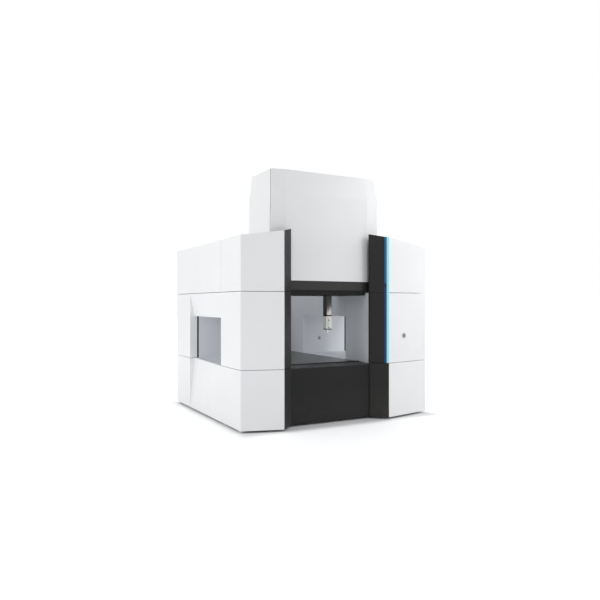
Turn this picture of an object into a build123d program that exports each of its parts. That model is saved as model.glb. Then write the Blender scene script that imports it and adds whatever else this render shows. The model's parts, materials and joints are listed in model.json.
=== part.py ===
from build123d import *
import os
from math import atan2, degrees, hypot, radians, tan

# A bridge coordinate measuring machine: a granite table between two guide walls, a bridge
# that runs on them under a tall hood, a carriage and a vertical ram with a probe head, and
# a folded sheet housing in three tiers round it all.
# X runs to the right, Y to the back and Z up from the floor. The layout below is measured
# from the middle of the front opening. Each piece is moved as it is written, so that the
# origin of the files lies on the floor under the middle of the housing.

# Housing
LEFT_OUTER = 1328.0
RIGHT_OUTER = 1585.0
RIDGE_X = 807.0
FACET_SETBACK = 155.0
REAR_Y = 2749.0
COVER_FOOT_Z = 30.0
RIDGE_TOP_Z = 2499.0
ROOF_SLOPE = 7.45
SEAM = 6.0
SKIN = 8.0
FLANGE = 40.0
TOWER_STEP = 61.0
REAR_INSIDE_Y = REAR_Y - SKIN
TOWER_INNER_X = RIDGE_X + TOWER_STEP

# Levels of the seams
TABLE_Z = 772.0
LEDGE_Z = 1740.0

# Front pillars, splayed beside the opening
PILLAR_SPLAY_X = 192.0
PILLAR_SPLAY_Y = 185.0
PILLAR_DEPTH = 31.0
PILLAR_RISE = 51.0
PILLAR_WALL = 6.0
STRIP_WIDTH = 60.0
STRIP_DEPTH = 30.0
PILLAR_INNER_X = RIDGE_X - PILLAR_SPLAY_X
PILLAR_BACK_Y = PILLAR_SPLAY_Y + PILLAR_DEPTH
PILLAR_INNER_TOP_Z = RIDGE_TOP_Z + PILLAR_RISE

# Side windows and the twisted recess round them
WINDOW_FRONT_Y = 815.0
WINDOW_LENGTH = 1285.0
WINDOW_HEIGHT = 631.0
RECESS_DEPTH = 76.0
REVEAL_DEPTH = 116.0
REVEAL_GAP = 12.0
GASKET_SETBACK = 3.0
WINDOW_REAR_Y = WINDOW_FRONT_Y + WINDOW_LENGTH
WINDOW_TOP_Z = TABLE_Z + WINDOW_HEIGHT

# Linings, panels and posts inside the housing
LINING_GAP = 15.0
LINING_WALL = 12.0
SLEEVE_WALL = 10.0
SEAM_GROOVE = 4.0
PANEL_OVERLAP = 17.0
SILL_RISE = 25.0
SILL_EDGE = 8.0
POST = 50.0
POST_CLEARANCE = 24.0
RAIL_Z = 210.0
POST_FOOT = 80.0
POST_FOOT_THICK = 12.0
LINING_X = PILLAR_INNER_X + LINING_GAP
PANEL_FRONT_Y = PILLAR_BACK_Y - PANEL_OVERLAP
PANEL_TOP_Z = TABLE_Z - SILL_RISE
POST_FRONT_Y = PILLAR_BACK_Y + POST_CLEARANCE

# Bed, table and walls
BED_OVERHANG = 40.0
BED_FRONT_CLEARANCE = 64.0
BED_REAR_CLEARANCE = 51.0
BED_FOOT_Z = 200.0
BED_CHAMFER = 12.0
SPRING_INSET_X = 180.0
SPRING_INSET_Y = 240.0
SPRING_R = 110.0
SPRING_PLATE = 22.0
SPRING_PLATE_HALF = 120.0
TABLE_THICK = 300.0
TABLE_SIDE_GAP = 5.0
TABLE_FRONT_INSET = 154.0
TABLE_REAR_INSET = 90.0
TABLE_CHAMFER = 5.0
INSERT_R = 14.0
INSERT_BORE_R = 6.0
INSERT_DEPTH = 30.0
INSERT_PITCH_X = 800.0
INSERT_PITCH_Y = 1400.0
INSERT_COLUMNS = 2
INSERT_ROWS = 2
INSERT_FIT = 0.05
WALL_OVERHANG = 92.0
WALL_DROP = 40.0
BED_FRONT_Y = PILLAR_BACK_Y + BED_FRONT_CLEARANCE
BED_REAR_Y = REAR_INSIDE_Y - BED_REAR_CLEARANCE
BED_TOP_Z = TABLE_Z - TABLE_THICK
TABLE_HALF_X = LINING_X - TABLE_SIDE_GAP
TABLE_FRONT_Y = BED_FRONT_Y + TABLE_FRONT_INSET
TABLE_REAR_Y = BED_REAR_Y - TABLE_REAR_INSET
WALL_OUTER_X = TOWER_INNER_X + WALL_OVERHANG
WALL_TOP_Z = LEDGE_Z - WALL_DROP
BED_HALF_X = WALL_OUTER_X + BED_OVERHANG
SPRING_X = BED_HALF_X - SPRING_INSET_X

# Hood and the black band under it
HOOD_CLEARANCE = 12.0
HOOD_BACKSET = 61.0
HOOD_LENGTH = 800.0
HOOD_FACET = 45.0
HOOD_FACET_WIDTH = 221.0
HOOD_SLOPE_HEIGHT = 307.0
HOOD_BLEND = 40.0
HOOD_BLEND_STEPS = 4
HOOD_FRONT_LEAN = 52.0
HOOD_REAR_LEAN = 45.0
HOOD_SIDE_LEAN = 27.0
HOOD_SHOULDER_LEAN = 18.0
HOOD_WALL = 6.0
HOOD_RETURN = 40.0
HOOD_PARTING = 14.0
BAND_CLEARANCE = 31.0
PAN_DEPTH = 69.0
PAN_SIDE_GAP = 54.0
PAN_TAPER = 20.0
PAN_SLOT_INSET = 80.0
PAN_SLOT_HALF_Y = 85.0
HOOD_SIDE_X = TOWER_INNER_X - HOOD_CLEARANCE
HOOD_FLAT_X = HOOD_SIDE_X - HOOD_FACET_WIDTH
HOOD_FRONT_Y = PILLAR_BACK_Y + HOOD_BACKSET
HOOD_REAR_Y = HOOD_FRONT_Y + HOOD_LENGTH
BAND_FOOT_Z = LEDGE_Z + BAND_CLEARANCE
PAN_FOOT_Z = BAND_FOOT_Z - PAN_DEPTH
BRIDGE_Y = (HOOD_FRONT_Y + HOOD_REAR_Y) / 2
TRUCK_OUTER_X = HOOD_SIDE_X - HOOD_WALL

# Guideways along Y, and the motor track beside each
GUIDE_WIDTH = 100.0
GUIDE_HEIGHT = 52.0
GUIDE_CHAMFER = 3.0
GUIDE_TO_TRACK = 10.0
LEDGE_SHEET = 10.0
LEDGE_INNER_WIDTH = 26.0
TRACK_WIDTH = 36.0
TRACK_HEIGHT = 48.0
TRACK_WALL = 8.0
AIR_GAP = 0.3
TRACK_INNER_X = TRUCK_OUTER_X - TRACK_WIDTH
GUIDE_OUTER_X = TRACK_INNER_X - GUIDE_TO_TRACK
GUIDE_INNER_X = GUIDE_OUTER_X - GUIDE_WIDTH
GUIDE_TOP_Z = WALL_TOP_Z + GUIDE_HEIGHT

# Bridge
TRUCK_OVERLAP = 40.0
TRUCK_INSET_Y = 100.0
TRUCK_HEIGHT = 78.0
BEAM_HEIGHT = 260.0
BEAM_DEPTH = 160.0
BEAM_SPACING = 394.0
BEAM_WALL = 16.0
BEAM_END = 6.0
PAD_THICK = 40.0
PAD_LENGTH = 140.0
PAD_FROM_END = 20.0
SIDE_PAD_LENGTH = 100.0
SIDE_PAD_THICK = 27.0
SIDE_PAD_DEPTH = 84.0
COIL_LENGTH = 354.0
COIL_THICK = 12.0
COIL_CLEARANCE = 4.0
BEAM_TO_HOOD_FOOT = 22.0
TRUCK_INNER_X = GUIDE_INNER_X - TRUCK_OVERLAP
TRUCK_FRONT_Y = HOOD_FRONT_Y + TRUCK_INSET_Y
TRUCK_REAR_Y = HOOD_REAR_Y - TRUCK_INSET_Y
TRUCK_FOOT_Z = GUIDE_TOP_Z + PAD_THICK
TRUCK_TOP_Z = TRUCK_FOOT_Z + TRUCK_HEIGHT
HOOD_FOOT_Z = TRUCK_TOP_Z + BEAM_TO_HOOD_FOOT
PAN_HALF_X = TRUCK_INNER_X - PAN_SIDE_GAP
PAN_SLOT_HALF_X = PAN_HALF_X - PAN_SLOT_INSET
BEAM_HALF_X = TRUCK_OUTER_X - BEAM_END
BEAM_TOP_Z = TRUCK_TOP_Z + BEAM_HEIGHT
BEAM_GAP_HALF = (BEAM_SPACING - BEAM_DEPTH) / 2

# Carriage and ram
RAM_X = 231.0
RAM_WIDTH = 93.0
RAM_WALL = 8.0
RAM_EDGE = 8.0
RAM_SHOWN = 311.0
RAM_LIFT = 400.0
RAM_DROP = 300.0
RAM_HEADROOM = 29.0
RAM_PAD = 14.0
SLEEVE_HALF = 85.0
SLEEVE_DROP = 95.0
SLEEVE_RISE = 380.0
SLEEVE_CLEARANCE = 30.0
PLATE_HALF_X = 170.0
PLATE_HALF_Y = 270.0
PLATE_THICK = 30.0
CARRIAGE_PAD = 20.0
X_TRACK_INSET = 190.0
X_TRACK_WIDTH = 60.0
X_TRACK_THICK = 12.0
X_COIL_HALF = 120.0
CYLINDER_OFFSET = 125.0
CYLINDER_R = 26.0
CYLINDER_BORE_R = 20.0
CYLINDER_CAP = 10.0
CYLINDER_CLEARANCE = 4.0
ROD_R = 10.0
PISTON_THICK = 20.0
PISTON_CLEARANCE = 2.0
BRACKET_THICK = 20.0
BRACKET_HALF_Y = 30.0
X_TRACK_HALF = BEAM_HALF_X - X_TRACK_INSET
PLATE_FOOT_Z = BEAM_TOP_Z + CARRIAGE_PAD
SLEEVE_FOOT_Z = TRUCK_TOP_Z - SLEEVE_DROP
SLEEVE_TOP_Z = PLATE_FOOT_Z + PLATE_THICK + SLEEVE_RISE
RAM_FOOT_Z = LEDGE_Z - RAM_SHOWN
RAM_TOP_Z = SLEEVE_TOP_Z + SLEEVE_CLEARANCE + RAM_DROP
HOOD_TOP_Z = RAM_TOP_Z + BRACKET_THICK + RAM_LIFT + RAM_HEADROOM + HOOD_WALL
HOOD_SHOULDER_Z = HOOD_TOP_Z - HOOD_SLOPE_HEIGHT
CYLINDER_X = RAM_X + CYLINDER_OFFSET
CYLINDER_TOP_Z = RAM_TOP_Z - RAM_DROP - CYLINDER_CLEARANCE
PISTON_Z = (
    CYLINDER_TOP_Z - CYLINDER_CAP - CYLINDER_CLEARANCE - RAM_LIFT - PISTON_THICK
)
CYLINDER_FOOT_Z = PISTON_Z - RAM_DROP - PISTON_CLEARANCE - CYLINDER_CAP

# Probe head and stylus
ADAPTER_THICK = 17.0
ADAPTER_WIDTH = 92.0
HEAD_WIDTH = 92.0
HEAD_HEIGHT = 176.0
HEAD_EDGE = 6.0
HEAD_WALL = 10.0
HEAD_ROOF = 22.0
HEAD_GROOVE = 3.0
HEAD_GROOVE_X = -19.0
PROBE_TRAVEL = 2.0
STAGE_HEIGHT = 40.0
CARRIER_WIDTH = 24.0
CARRIER_ENTRY = 22.0
RING_THICK = 12.5
NECK_R = 20.0
NECK_LENGTH = 30.2
STYLUS_PLATE_R = 60.0
STYLUS_PLATE_THICK = 10.0
STYLUS_LENGTH = 65.0
STYLUS_R = 4.0
STYLUS_HOLDER = 16.0
STYLUS_SEAT = 6.0
STYLUS_FIT = 0.05
BALL_R = 2.5
HEAD_CAVITY = HEAD_WIDTH - 2 * HEAD_WALL
HEAD_TOP_Z = RAM_FOOT_Z - ADAPTER_THICK
HEAD_FOOT_Z = HEAD_TOP_Z - HEAD_HEIGHT
RING_TOP_Z = HEAD_FOOT_Z - PROBE_TRAVEL - AIR_GAP
NECK_TOP_Z = RING_TOP_Z - RING_THICK
STYLUS_PLATE_Z = NECK_TOP_Z - NECK_LENGTH - STYLUS_PLATE_THICK
TIP_Z = STYLUS_PLATE_Z - STYLUS_LENGTH

# Quarter-turn locks
LOCK_R = 32.0
LOCK_THICK = 6.0
LOCK_SHAFT_R = 10.0
LOCK_FIT = 0.05
LOCK_TONGUE = 44.0
LOCK_SLOT = 5.0
PANEL_LOCK_ALONG = 0.395
PANEL_LOCK_RISE = 369.0
TUNNEL_LOCK_INSET = 20.0
TUNNEL_LOCK_RISE = 237.0
PANEL_LOCK_Z = TABLE_Z + PANEL_LOCK_RISE
TUNNEL_LOCK_X = WALL_OUTER_X - TUNNEL_LOCK_INSET
TUNNEL_LOCK_Z = TABLE_Z + TUNNEL_LOCK_RISE

# The files' origin, on the floor under the middle of the housing
ORIGIN_X = (RIGHT_OUTER - LEFT_OUTER) / 2
ORIGIN_Y = REAR_Y / 2


def block(x0, x1, y0, y1, z0, z1):
    """A box between two corners."""
    corner = (Align.MIN, Align.MIN, Align.MIN)
    return Pos(x0, y0, z0) * Box(x1 - x0, y1 - y0, z1 - z0, align=corner)


def square_bar(x, y, width, z0, z1, edge=0.0):
    """An upright square bar on a centre line, with its upright edges rounded."""
    bar = block(x - width / 2, x + width / 2, y - width / 2, y + width / 2, z0, z1)
    return fillet(bar.edges().filter_by(Axis.Z), edge) if edge else bar


def rod(x, y, radius, z0, z1):
    """An upright round bar."""
    bottom = (Align.CENTER, Align.CENTER, Align.MIN)
    return Pos(x, y, z0) * Cylinder(radius, z1 - z0, align=bottom)


def prism(outline, z0, z1):
    """A plan outline carried up from z0 to z1."""
    plan = Plane.XY.offset(z0) * Polygon(*outline, align=None)
    return extrude(plan, amount=z1 - z0, dir=(0, 0, 1))


def along(outline, y0, y1):
    """An outline in X and Z carried back from y0 to y1."""
    front = Plane.XZ.offset(-y0) * Polygon(*outline, align=None)
    return extrude(front, amount=y1 - y0, dir=(0, 1, 0))


def across(outline, x0, x1):
    """An outline in Y and Z carried across from x0 to x1."""
    side = Plane.YZ.offset(x0) * Polygon(*outline, align=None)
    return extrude(side, amount=x1 - x0, dir=(1, 0, 0))


def layered(outlines):
    """A solid ruled through plan outlines, given as pairs of a height and its points."""
    sections = [Plane.XY.offset(z) * Polygon(*points, align=None) for z, points in outlines]
    return loft(sections, ruled=True)


def on_left(shape):
    """The same piece on the left of the machine."""
    return mirror(shape, about=Plane.YZ)


def inset_outline(points, distance):
    """A convex outline, anticlockwise, with each side moved inward."""
    lines = []
    for (x0, y0), (x1, y1) in zip(points, points[1:] + points[:1]):
        length = hypot(x1 - x0, y1 - y0)
        nx, ny = (y0 - y1) / length, (x1 - x0) / length
        lines.append((nx, ny, nx * x0 + ny * y0 + distance))
    corners = []
    for (a, b, c), (d, e, f) in zip(lines[-1:] + lines[:-1], lines):
        det = a * e - b * d
        corners.append(((c * e - b * f) / det, (a * f - c * d) / det))
    return corners


def write(name, *solids):
    """Moves the solids of one piece to the origin of the files and writes them."""
    placed = [Pos(-ORIGIN_X, -ORIGIN_Y, 0) * solid for solid in solids]
    node = placed[0] if len(placed) == 1 else Compound(children=placed)
    export_step(node, f"parts/{name}.step")


def roof_z(x):
    """Height of the sloping roof at a distance from the middle."""
    return RIDGE_TOP_Z - (x - RIDGE_X) * tan(radians(ROOF_SLOPE))


def facet_y(outer, x):
    """Front face of a side housing at a distance from the middle."""
    return FACET_SETBACK * (x - RIDGE_X) / (outer - RIDGE_X)


def wing_outline(outer, inset):
    """Plan of a side housing, with its front facet and side moved in by inset."""
    slope = FACET_SETBACK / (outer - RIDGE_X)
    start = inset * hypot(1, slope)
    inner = RIDGE_X - inset
    corner = outer - inset
    return [
        (inner, start + slope * (inner - RIDGE_X)),
        (corner, start + slope * (corner - RIDGE_X)),
        (corner, REAR_Y + inset),
        (inner, REAR_Y + inset),
    ]


def recess_outline(outer, inset, depth):
    """Plan of the air in front of the recess, which is deepest at the window's rear."""
    clear = outer + RECESS_DEPTH
    return [
        (clear, WINDOW_FRONT_Y),
        (clear, WINDOW_REAR_Y + inset),
        (outer - inset - depth, WINDOW_REAR_Y + inset),
        (outer - inset, WINDOW_FRONT_Y),
    ]


def wing_tier(outer, inset, z0, z1):
    """One tier of a side housing as a solid, with its share of the twisted recess cut away."""
    body = prism(wing_outline(outer, inset), z0, z1)
    if z0 < TABLE_Z:
        flat = (COVER_FOOT_Z, recess_outline(outer, inset, 0.0))
        deep = (TABLE_Z + SEAM, recess_outline(outer, inset, RECESS_DEPTH))
        return body - layered([flat, deep])
    if z0 < LEDGE_Z - SEAM:
        deep = (WINDOW_TOP_Z, recess_outline(outer, inset, RECESS_DEPTH))
        flat = (LEDGE_Z, recess_outline(outer, inset, 0.0))
        below = prism(recess_outline(outer, inset, RECESS_DEPTH), z0 - SEAM, WINDOW_TOP_Z)
        return body - layered([deep, flat]) - below
    return body


def folded_cover(outer, z0, z1):
    """A sheet cover over facet and side, with a return flange along its top and foot."""
    cover = wing_tier(outer, 0.0, z0, z1)
    cover -= wing_tier(outer, SKIN, z0 + SKIN, z1 - SKIN)
    cover -= wing_tier(outer, FLANGE, z0, z1)
    behind = block(RIDGE_X, outer - SKIN, REAR_INSIDE_Y, REAR_Y, z0, z1)
    return cover - behind


def lower_cover(outer):
    """The lowest tier, whose top turns in to make the sill of the window."""
    z1 = TABLE_Z - SEAM / 2
    cover = folded_cover(outer, COVER_FOOT_Z, z1)
    sill = block(
        outer - REVEAL_DEPTH, outer, WINDOW_FRONT_Y - SKIN, WINDOW_REAR_Y + SKIN, z1 - SKIN, z1
    )
    return cover + (sill & wing_tier(outer, 0.0, COVER_FOOT_Z, z1))


def middle_cover(outer):
    """The middle tier, with the window and its turned-in reveal."""
    z0, z1 = TABLE_Z + SEAM / 2, LEDGE_Z - SEAM / 2
    inner = outer - REVEAL_DEPTH
    reveal = block(
        inner, outer, WINDOW_FRONT_Y - SKIN, WINDOW_REAR_Y + SKIN, z0, WINDOW_TOP_Z + SKIN
    )
    window = block(
        inner, outer + SKIN, WINDOW_FRONT_Y, WINDOW_REAR_Y, z0 - SEAM, WINDOW_TOP_Z
    )
    body = wing_tier(outer, 0.0, z0, z1)
    return folded_cover(outer, z0, z1) + (reveal & body) - window


def under_roof(outer, z0, drop):
    """All that lies between a level and the sloping roof, lowered by drop."""
    inner, out = RIDGE_X - FLANGE, outer + FLANGE
    outline = [(inner, z0), (out, z0), (out, roof_z(out) - drop), (inner, roof_z(inner) - drop)]
    return along(outline, -FLANGE, REAR_Y + FLANGE)


def tower_cover(outer):
    """The whole upper tier: front facet, side and sloping roof in one sheet form."""
    z0 = LEDGE_Z + SEAM / 2
    cover = wing_tier(outer, 0.0, z0, RIDGE_TOP_Z) & under_roof(outer, z0, 0.0)
    inside = wing_tier(outer, SKIN, z0 + SKIN, RIDGE_TOP_Z) & under_roof(outer, z0, SKIN)
    mouth = wing_tier(outer, FLANGE, z0, z0 + SKIN)
    beside_hood = block(
        RIDGE_X - FLANGE, TOWER_INNER_X, PILLAR_BACK_Y, REAR_Y + FLANGE, z0, RIDGE_TOP_Z
    )
    behind = block(RIDGE_X, outer - SKIN, REAR_INSIDE_Y, REAR_Y, z0, roof_z(outer) - SKIN)
    return cover - inside - mouth - beside_hood - behind


def upper_covers(outer):
    """The upper tier in two covers, parted in line with the window's front edge."""
    whole = tower_cover(outer)
    out = outer + FLANGE
    seam_y = WINDOW_FRONT_Y
    front = block(RIDGE_X, out, 0, seam_y - SEAM / 2, LEDGE_Z, RIDGE_TOP_Z)
    rear = block(RIDGE_X, out, seam_y + SEAM / 2, REAR_Y, LEDGE_Z, RIDGE_TOP_Z)
    return whole & front, whole & rear


def tower_inner_panel(outer):
    """The upper housing's wall beside the hood, with its step behind the pillar."""
    wall_x = TOWER_INNER_X + SKIN
    wall = block(TOWER_INNER_X, wall_x, PILLAR_BACK_Y, REAR_INSIDE_Y, LEDGE_Z, RIDGE_TOP_Z)
    step = block(
        RIDGE_X, wall_x, PILLAR_BACK_Y - SKIN, PILLAR_BACK_Y, LEDGE_Z + SEAM, RIDGE_TOP_Z
    )
    return (wall + step) & under_roof(outer, LEDGE_Z, SKIN)


def rear_lower_panel():
    """The flat panel across the foot of the back, between the side covers."""
    left, right = -LEFT_OUTER + SKIN, RIGHT_OUTER - SKIN
    return block(left, right, REAR_INSIDE_Y, REAR_Y, COVER_FOOT_Z, TABLE_Z - SEAM / 2)


def rear_upper_panel():
    """The tall rear panel, cut to the slope of both roofs."""
    z0 = TABLE_Z + SEAM / 2
    left, right = LEFT_OUTER - SKIN, RIGHT_OUTER - SKIN
    outline = [
        (-left, z0),
        (right, z0),
        (right, roof_z(RIGHT_OUTER) - SKIN),
        (TOWER_INNER_X, roof_z(RIGHT_OUTER) - SKIN),
        (-TOWER_INNER_X, roof_z(LEFT_OUTER) - SKIN),
        (-left, roof_z(LEFT_OUTER) - SKIN),
    ]
    return along(outline, REAR_INSIDE_Y, REAR_Y)


def pillar_outline(with_strip, inset):
    """Plan of a splayed pillar, cut back at the ridge where the light strip sits."""
    ridge, inner = (RIDGE_X, 0.0), (PILLAR_INNER_X, PILLAR_SPLAY_Y)
    back = [(RIDGE_X, PILLAR_BACK_Y), (PILLAR_INNER_X, PILLAR_BACK_Y)]
    if not with_strip:
        return inset_outline([ridge, *back, inner], inset)
    x, y = strip_end()
    shelf = y + STRIP_DEPTH
    outline = [(RIDGE_X, shelf), *back, inner, (x, y), (x, shelf)]
    if not inset:
        return outline
    return inset_outline([(RIDGE_X, shelf), *back, inner, (x, shelf)], inset)


def strip_end():
    """Where the light strip ends on the splayed face."""
    run, rise = PILLAR_INNER_X - RIDGE_X, PILLAR_SPLAY_Y
    share = STRIP_WIDTH / hypot(run, rise)
    return RIDGE_X + share * run, share * rise


def pillar_top(z0, drop):
    """All below the pillar's top, which rises towards the opening."""
    rise = (PILLAR_INNER_TOP_Z - RIDGE_TOP_Z) / (RIDGE_X - PILLAR_INNER_X)
    outer, inner = RIDGE_X + FLANGE, PILLAR_INNER_X - FLANGE
    outline = [
        (inner, z0),
        (outer, z0),
        (outer, RIDGE_TOP_Z - FLANGE * rise - drop),
        (inner, PILLAR_INNER_TOP_Z + FLANGE * rise - drop),
    ]
    return along(outline, -FLANGE, PILLAR_BACK_Y + FLANGE)


def pillar(z0, z1, with_strip=False):
    """A hollow pillar piece, closed at both ends."""
    body = prism(pillar_outline(with_strip, 0.0), z0, z1) & pillar_top(z0, 0.0)
    outline = pillar_outline(with_strip, PILLAR_WALL)
    hollow = prism(outline, z0 + PILLAR_WALL, z1 - PILLAR_WALL)
    return body - (hollow & pillar_top(z0, PILLAR_WALL))


def light_strip():
    """The lit bar let into the ridge of the right pillar."""
    x, y = strip_end()
    shelf = y + STRIP_DEPTH
    z0 = TABLE_Z + SEAM / 2
    outline = [(RIDGE_X, 0.0), (RIDGE_X, shelf), (x, shelf), (x, y)]
    return prism(outline, z0, PILLAR_INNER_TOP_Z) & pillar_top(z0, 0.0)


def inner_lining(outer):
    """The lining of one inner wall, with the sleeve that lines the tunnel to the window."""
    front, rear = WINDOW_FRONT_Y - SLEEVE_WALL, WINDOW_REAR_Y + SLEEVE_WALL
    foot, top = TABLE_Z - SLEEVE_WALL, WINDOW_TOP_Z + SLEEVE_WALL
    end = outer - REVEAL_DEPTH - REVEAL_GAP
    wall_top = LEDGE_Z - LEDGE_SHEET
    wall = block(
        LINING_X, LINING_X + LINING_WALL, PILLAR_BACK_Y, REAR_INSIDE_Y, foot, wall_top
    )
    sleeve = block(LINING_X, end, front, rear, foot, top)
    tunnel = block(
        LINING_X - SKIN, end + SKIN, WINDOW_FRONT_Y, WINDOW_REAR_Y, TABLE_Z, WINDOW_TOP_Z
    )
    lining = wall + sleeve - tunnel
    for y in (WINDOW_FRONT_Y, WINDOW_REAR_Y):
        y0, y1 = y - SEAM_GROOVE / 2, y + SEAM_GROOVE / 2
        lining -= block(LINING_X, LINING_X + SEAM_GROOVE, y0, y1, WINDOW_TOP_Z, wall_top)
    return lining


def housing_frame(outer):
    """The posts that the covers hang on, with their rail and their feet."""
    x1 = outer - FLANGE
    x0 = x1 - POST
    rear_post = REAR_INSIDE_Y - POST
    high = roof_z(x1) - 2 * SKIN
    low = LEDGE_Z - SEAM / 2 - SKIN
    frame = block(x0, x1 - SEAM, POST_FRONT_Y, REAR_INSIDE_Y, RAIL_Z, RAIL_Z + POST)
    posts = (
        (POST_FRONT_Y, high),
        (WINDOW_FRONT_Y - SKIN - POST, low),
        (WINDOW_REAR_Y + FLANGE, low),
        (rear_post, high),
    )
    spread = POST_FOOT - POST
    for y, top in posts:
        frame += block(x0, x1, y, y + POST, 0, top)
        frame += block(x0 - spread, x1, y, y + POST, 0, POST_FOOT_THICK)
    return frame


def window_gasket(outer):
    """The black rubber frame between the window's reveal and the tunnel's sleeve."""
    x1 = outer - REVEAL_DEPTH
    x0 = x1 - REVEAL_GAP
    ring = block(
        x0, x1, WINDOW_FRONT_Y - SLEEVE_WALL, WINDOW_REAR_Y + SLEEVE_WALL,
        TABLE_Z - SLEEVE_WALL, WINDOW_TOP_Z + SLEEVE_WALL,
    )
    lip = GASKET_SETBACK
    return ring - block(
        x0, x1, WINDOW_FRONT_Y - lip, WINDOW_REAR_Y + lip, TABLE_Z - lip, WINDOW_TOP_Z + lip
    )


def front_panel():
    """The black panel under the table, a tray open at the back."""
    tray = block(
        -PILLAR_INNER_X, PILLAR_INNER_X, PANEL_FRONT_Y, PANEL_FRONT_Y + FLANGE,
        COVER_FOOT_Z, PANEL_TOP_Z,
    )
    half = PILLAR_INNER_X - SKIN
    inside = block(
        -half, half, PANEL_FRONT_Y + SKIN, PANEL_FRONT_Y + FLANGE,
        COVER_FOOT_Z + SKIN, PANEL_TOP_Z - SKIN,
    )
    return tray - inside


def front_sill():
    """The sloping sill from the front panel up to the table."""
    outline = [
        (PANEL_FRONT_Y, PANEL_TOP_Z),
        (TABLE_FRONT_Y, PANEL_TOP_Z),
        (TABLE_FRONT_Y, TABLE_Z),
        (PANEL_FRONT_Y, PANEL_TOP_Z + SILL_EDGE),
    ]
    sill = across(outline, -LINING_X, LINING_X)
    for x in (-LINING_X, PILLAR_INNER_X):
        width = LINING_X - PILLAR_INNER_X
        sill -= block(x, x + width, PANEL_FRONT_Y, PILLAR_BACK_Y, PANEL_TOP_Z, TABLE_Z)
    return sill


def machine_bed():
    """The cast bed that carries the table and both guide walls."""
    bed = block(-BED_HALF_X, BED_HALF_X, BED_FRONT_Y, BED_REAR_Y, BED_FOOT_Z, BED_TOP_Z)
    return chamfer(bed.edges().filter_by(Axis.Z), BED_CHAMFER)


def air_spring():
    """A pneumatic levelling foot: a rubber bellows between two square plates."""
    half = SPRING_PLATE_HALF
    lower = block(-half, half, -half, half, 0, SPRING_PLATE)
    upper = block(-half, half, -half, half, BED_FOOT_Z - SPRING_PLATE, BED_FOOT_Z)
    return lower + rod(0, 0, SPRING_R, SPRING_PLATE, BED_FOOT_Z - SPRING_PLATE) + upper


def spring_places():
    """The four corners of the bed where the feet stand."""
    front, rear = BED_FRONT_Y + SPRING_INSET_Y, BED_REAR_Y - SPRING_INSET_Y
    return [(x, y) for x in (-SPRING_X, SPRING_X) for y in (front, rear)]


def insert_places():
    """The grid of threaded inserts in the table."""
    centre_y = (TABLE_FRONT_Y + TABLE_REAR_Y) / 2
    xs = [(i - (INSERT_COLUMNS - 1) / 2) * INSERT_PITCH_X for i in range(INSERT_COLUMNS)]
    ys = [centre_y + (i - (INSERT_ROWS - 1) / 2) * INSERT_PITCH_Y for i in range(INSERT_ROWS)]
    return [(x, y) for x in xs for y in ys]


def measuring_table():
    """The granite table, its top edges broken and bored for the inserts."""
    table = block(
        -TABLE_HALF_X, TABLE_HALF_X, TABLE_FRONT_Y, TABLE_REAR_Y, BED_TOP_Z, TABLE_Z
    )
    table = chamfer(table.faces().sort_by(Axis.Z)[-1].edges(), TABLE_CHAMFER)
    pockets = [
        rod(x, y, INSERT_R + INSERT_FIT, TABLE_Z - INSERT_DEPTH, TABLE_Z)
        for x, y in insert_places()
    ]
    return table - pockets


def table_insert(x, y):
    """One threaded insert, flush with the table."""
    body = rod(x, y, INSERT_R, TABLE_Z - INSERT_DEPTH, TABLE_Z)
    return body - rod(x, y, INSERT_BORE_R, TABLE_Z - INSERT_DEPTH, TABLE_Z)


def guide_wall():
    """A granite wall beside the table, cut through for the tunnel."""
    wall = block(
        LINING_X + LINING_WALL, WALL_OUTER_X, BED_FRONT_Y, BED_REAR_Y, BED_TOP_Z, WALL_TOP_Z
    )
    tunnel = block(
        LINING_X, WALL_OUTER_X, WINDOW_FRONT_Y - SLEEVE_WALL, WINDOW_REAR_Y + SLEEVE_WALL,
        TABLE_Z - SLEEVE_WALL, WINDOW_TOP_Z + SLEEVE_WALL,
    )
    return wall - tunnel


def guideway():
    """The lapped bar that the bridge runs on."""
    bar = block(
        GUIDE_INNER_X, GUIDE_OUTER_X, BED_FRONT_Y, BED_REAR_Y, WALL_TOP_Z, GUIDE_TOP_Z
    )
    top = bar.faces().sort_by(Axis.Z)[-1].edges().filter_by(Axis.Y)
    return chamfer(top, GUIDE_CHAMFER)


def magnet_track():
    """The channel of the linear motor beside a guideway."""
    x1, z1 = TRACK_INNER_X + TRACK_WIDTH, WALL_TOP_Z + TRACK_HEIGHT
    channel = block(TRACK_INNER_X, x1, BED_FRONT_Y, BED_REAR_Y, WALL_TOP_Z, z1)
    slot = block(
        TRACK_INNER_X + TRACK_WALL, x1 - TRACK_WALL, BED_FRONT_Y, BED_REAR_Y,
        WALL_TOP_Z + TRACK_WALL, z1,
    )
    return channel - slot


def ledge_strips():
    """The two sheet strips of one ledge, inboard and outboard of the guideway."""
    z0, z1 = LEDGE_Z - LEDGE_SHEET, LEDGE_Z
    inner = block(
        LINING_X, LINING_X + LEDGE_INNER_WIDTH, PILLAR_BACK_Y, REAR_INSIDE_Y, z0, z1
    )
    inner += block(
        LINING_X + LINING_WALL, LINING_X + LEDGE_INNER_WIDTH, BED_FRONT_Y, BED_REAR_Y,
        WALL_TOP_Z, z0,
    )
    x0, x1 = TRACK_INNER_X + TRACK_WIDTH + AIR_GAP, TOWER_INNER_X + SKIN
    outer = block(x0, x1, PILLAR_BACK_Y, REAR_INSIDE_Y, z0, z1)
    outer += block(x0, x0 + LEDGE_SHEET, BED_FRONT_Y, BED_REAR_Y, WALL_TOP_Z, z0)
    return inner, outer


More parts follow.
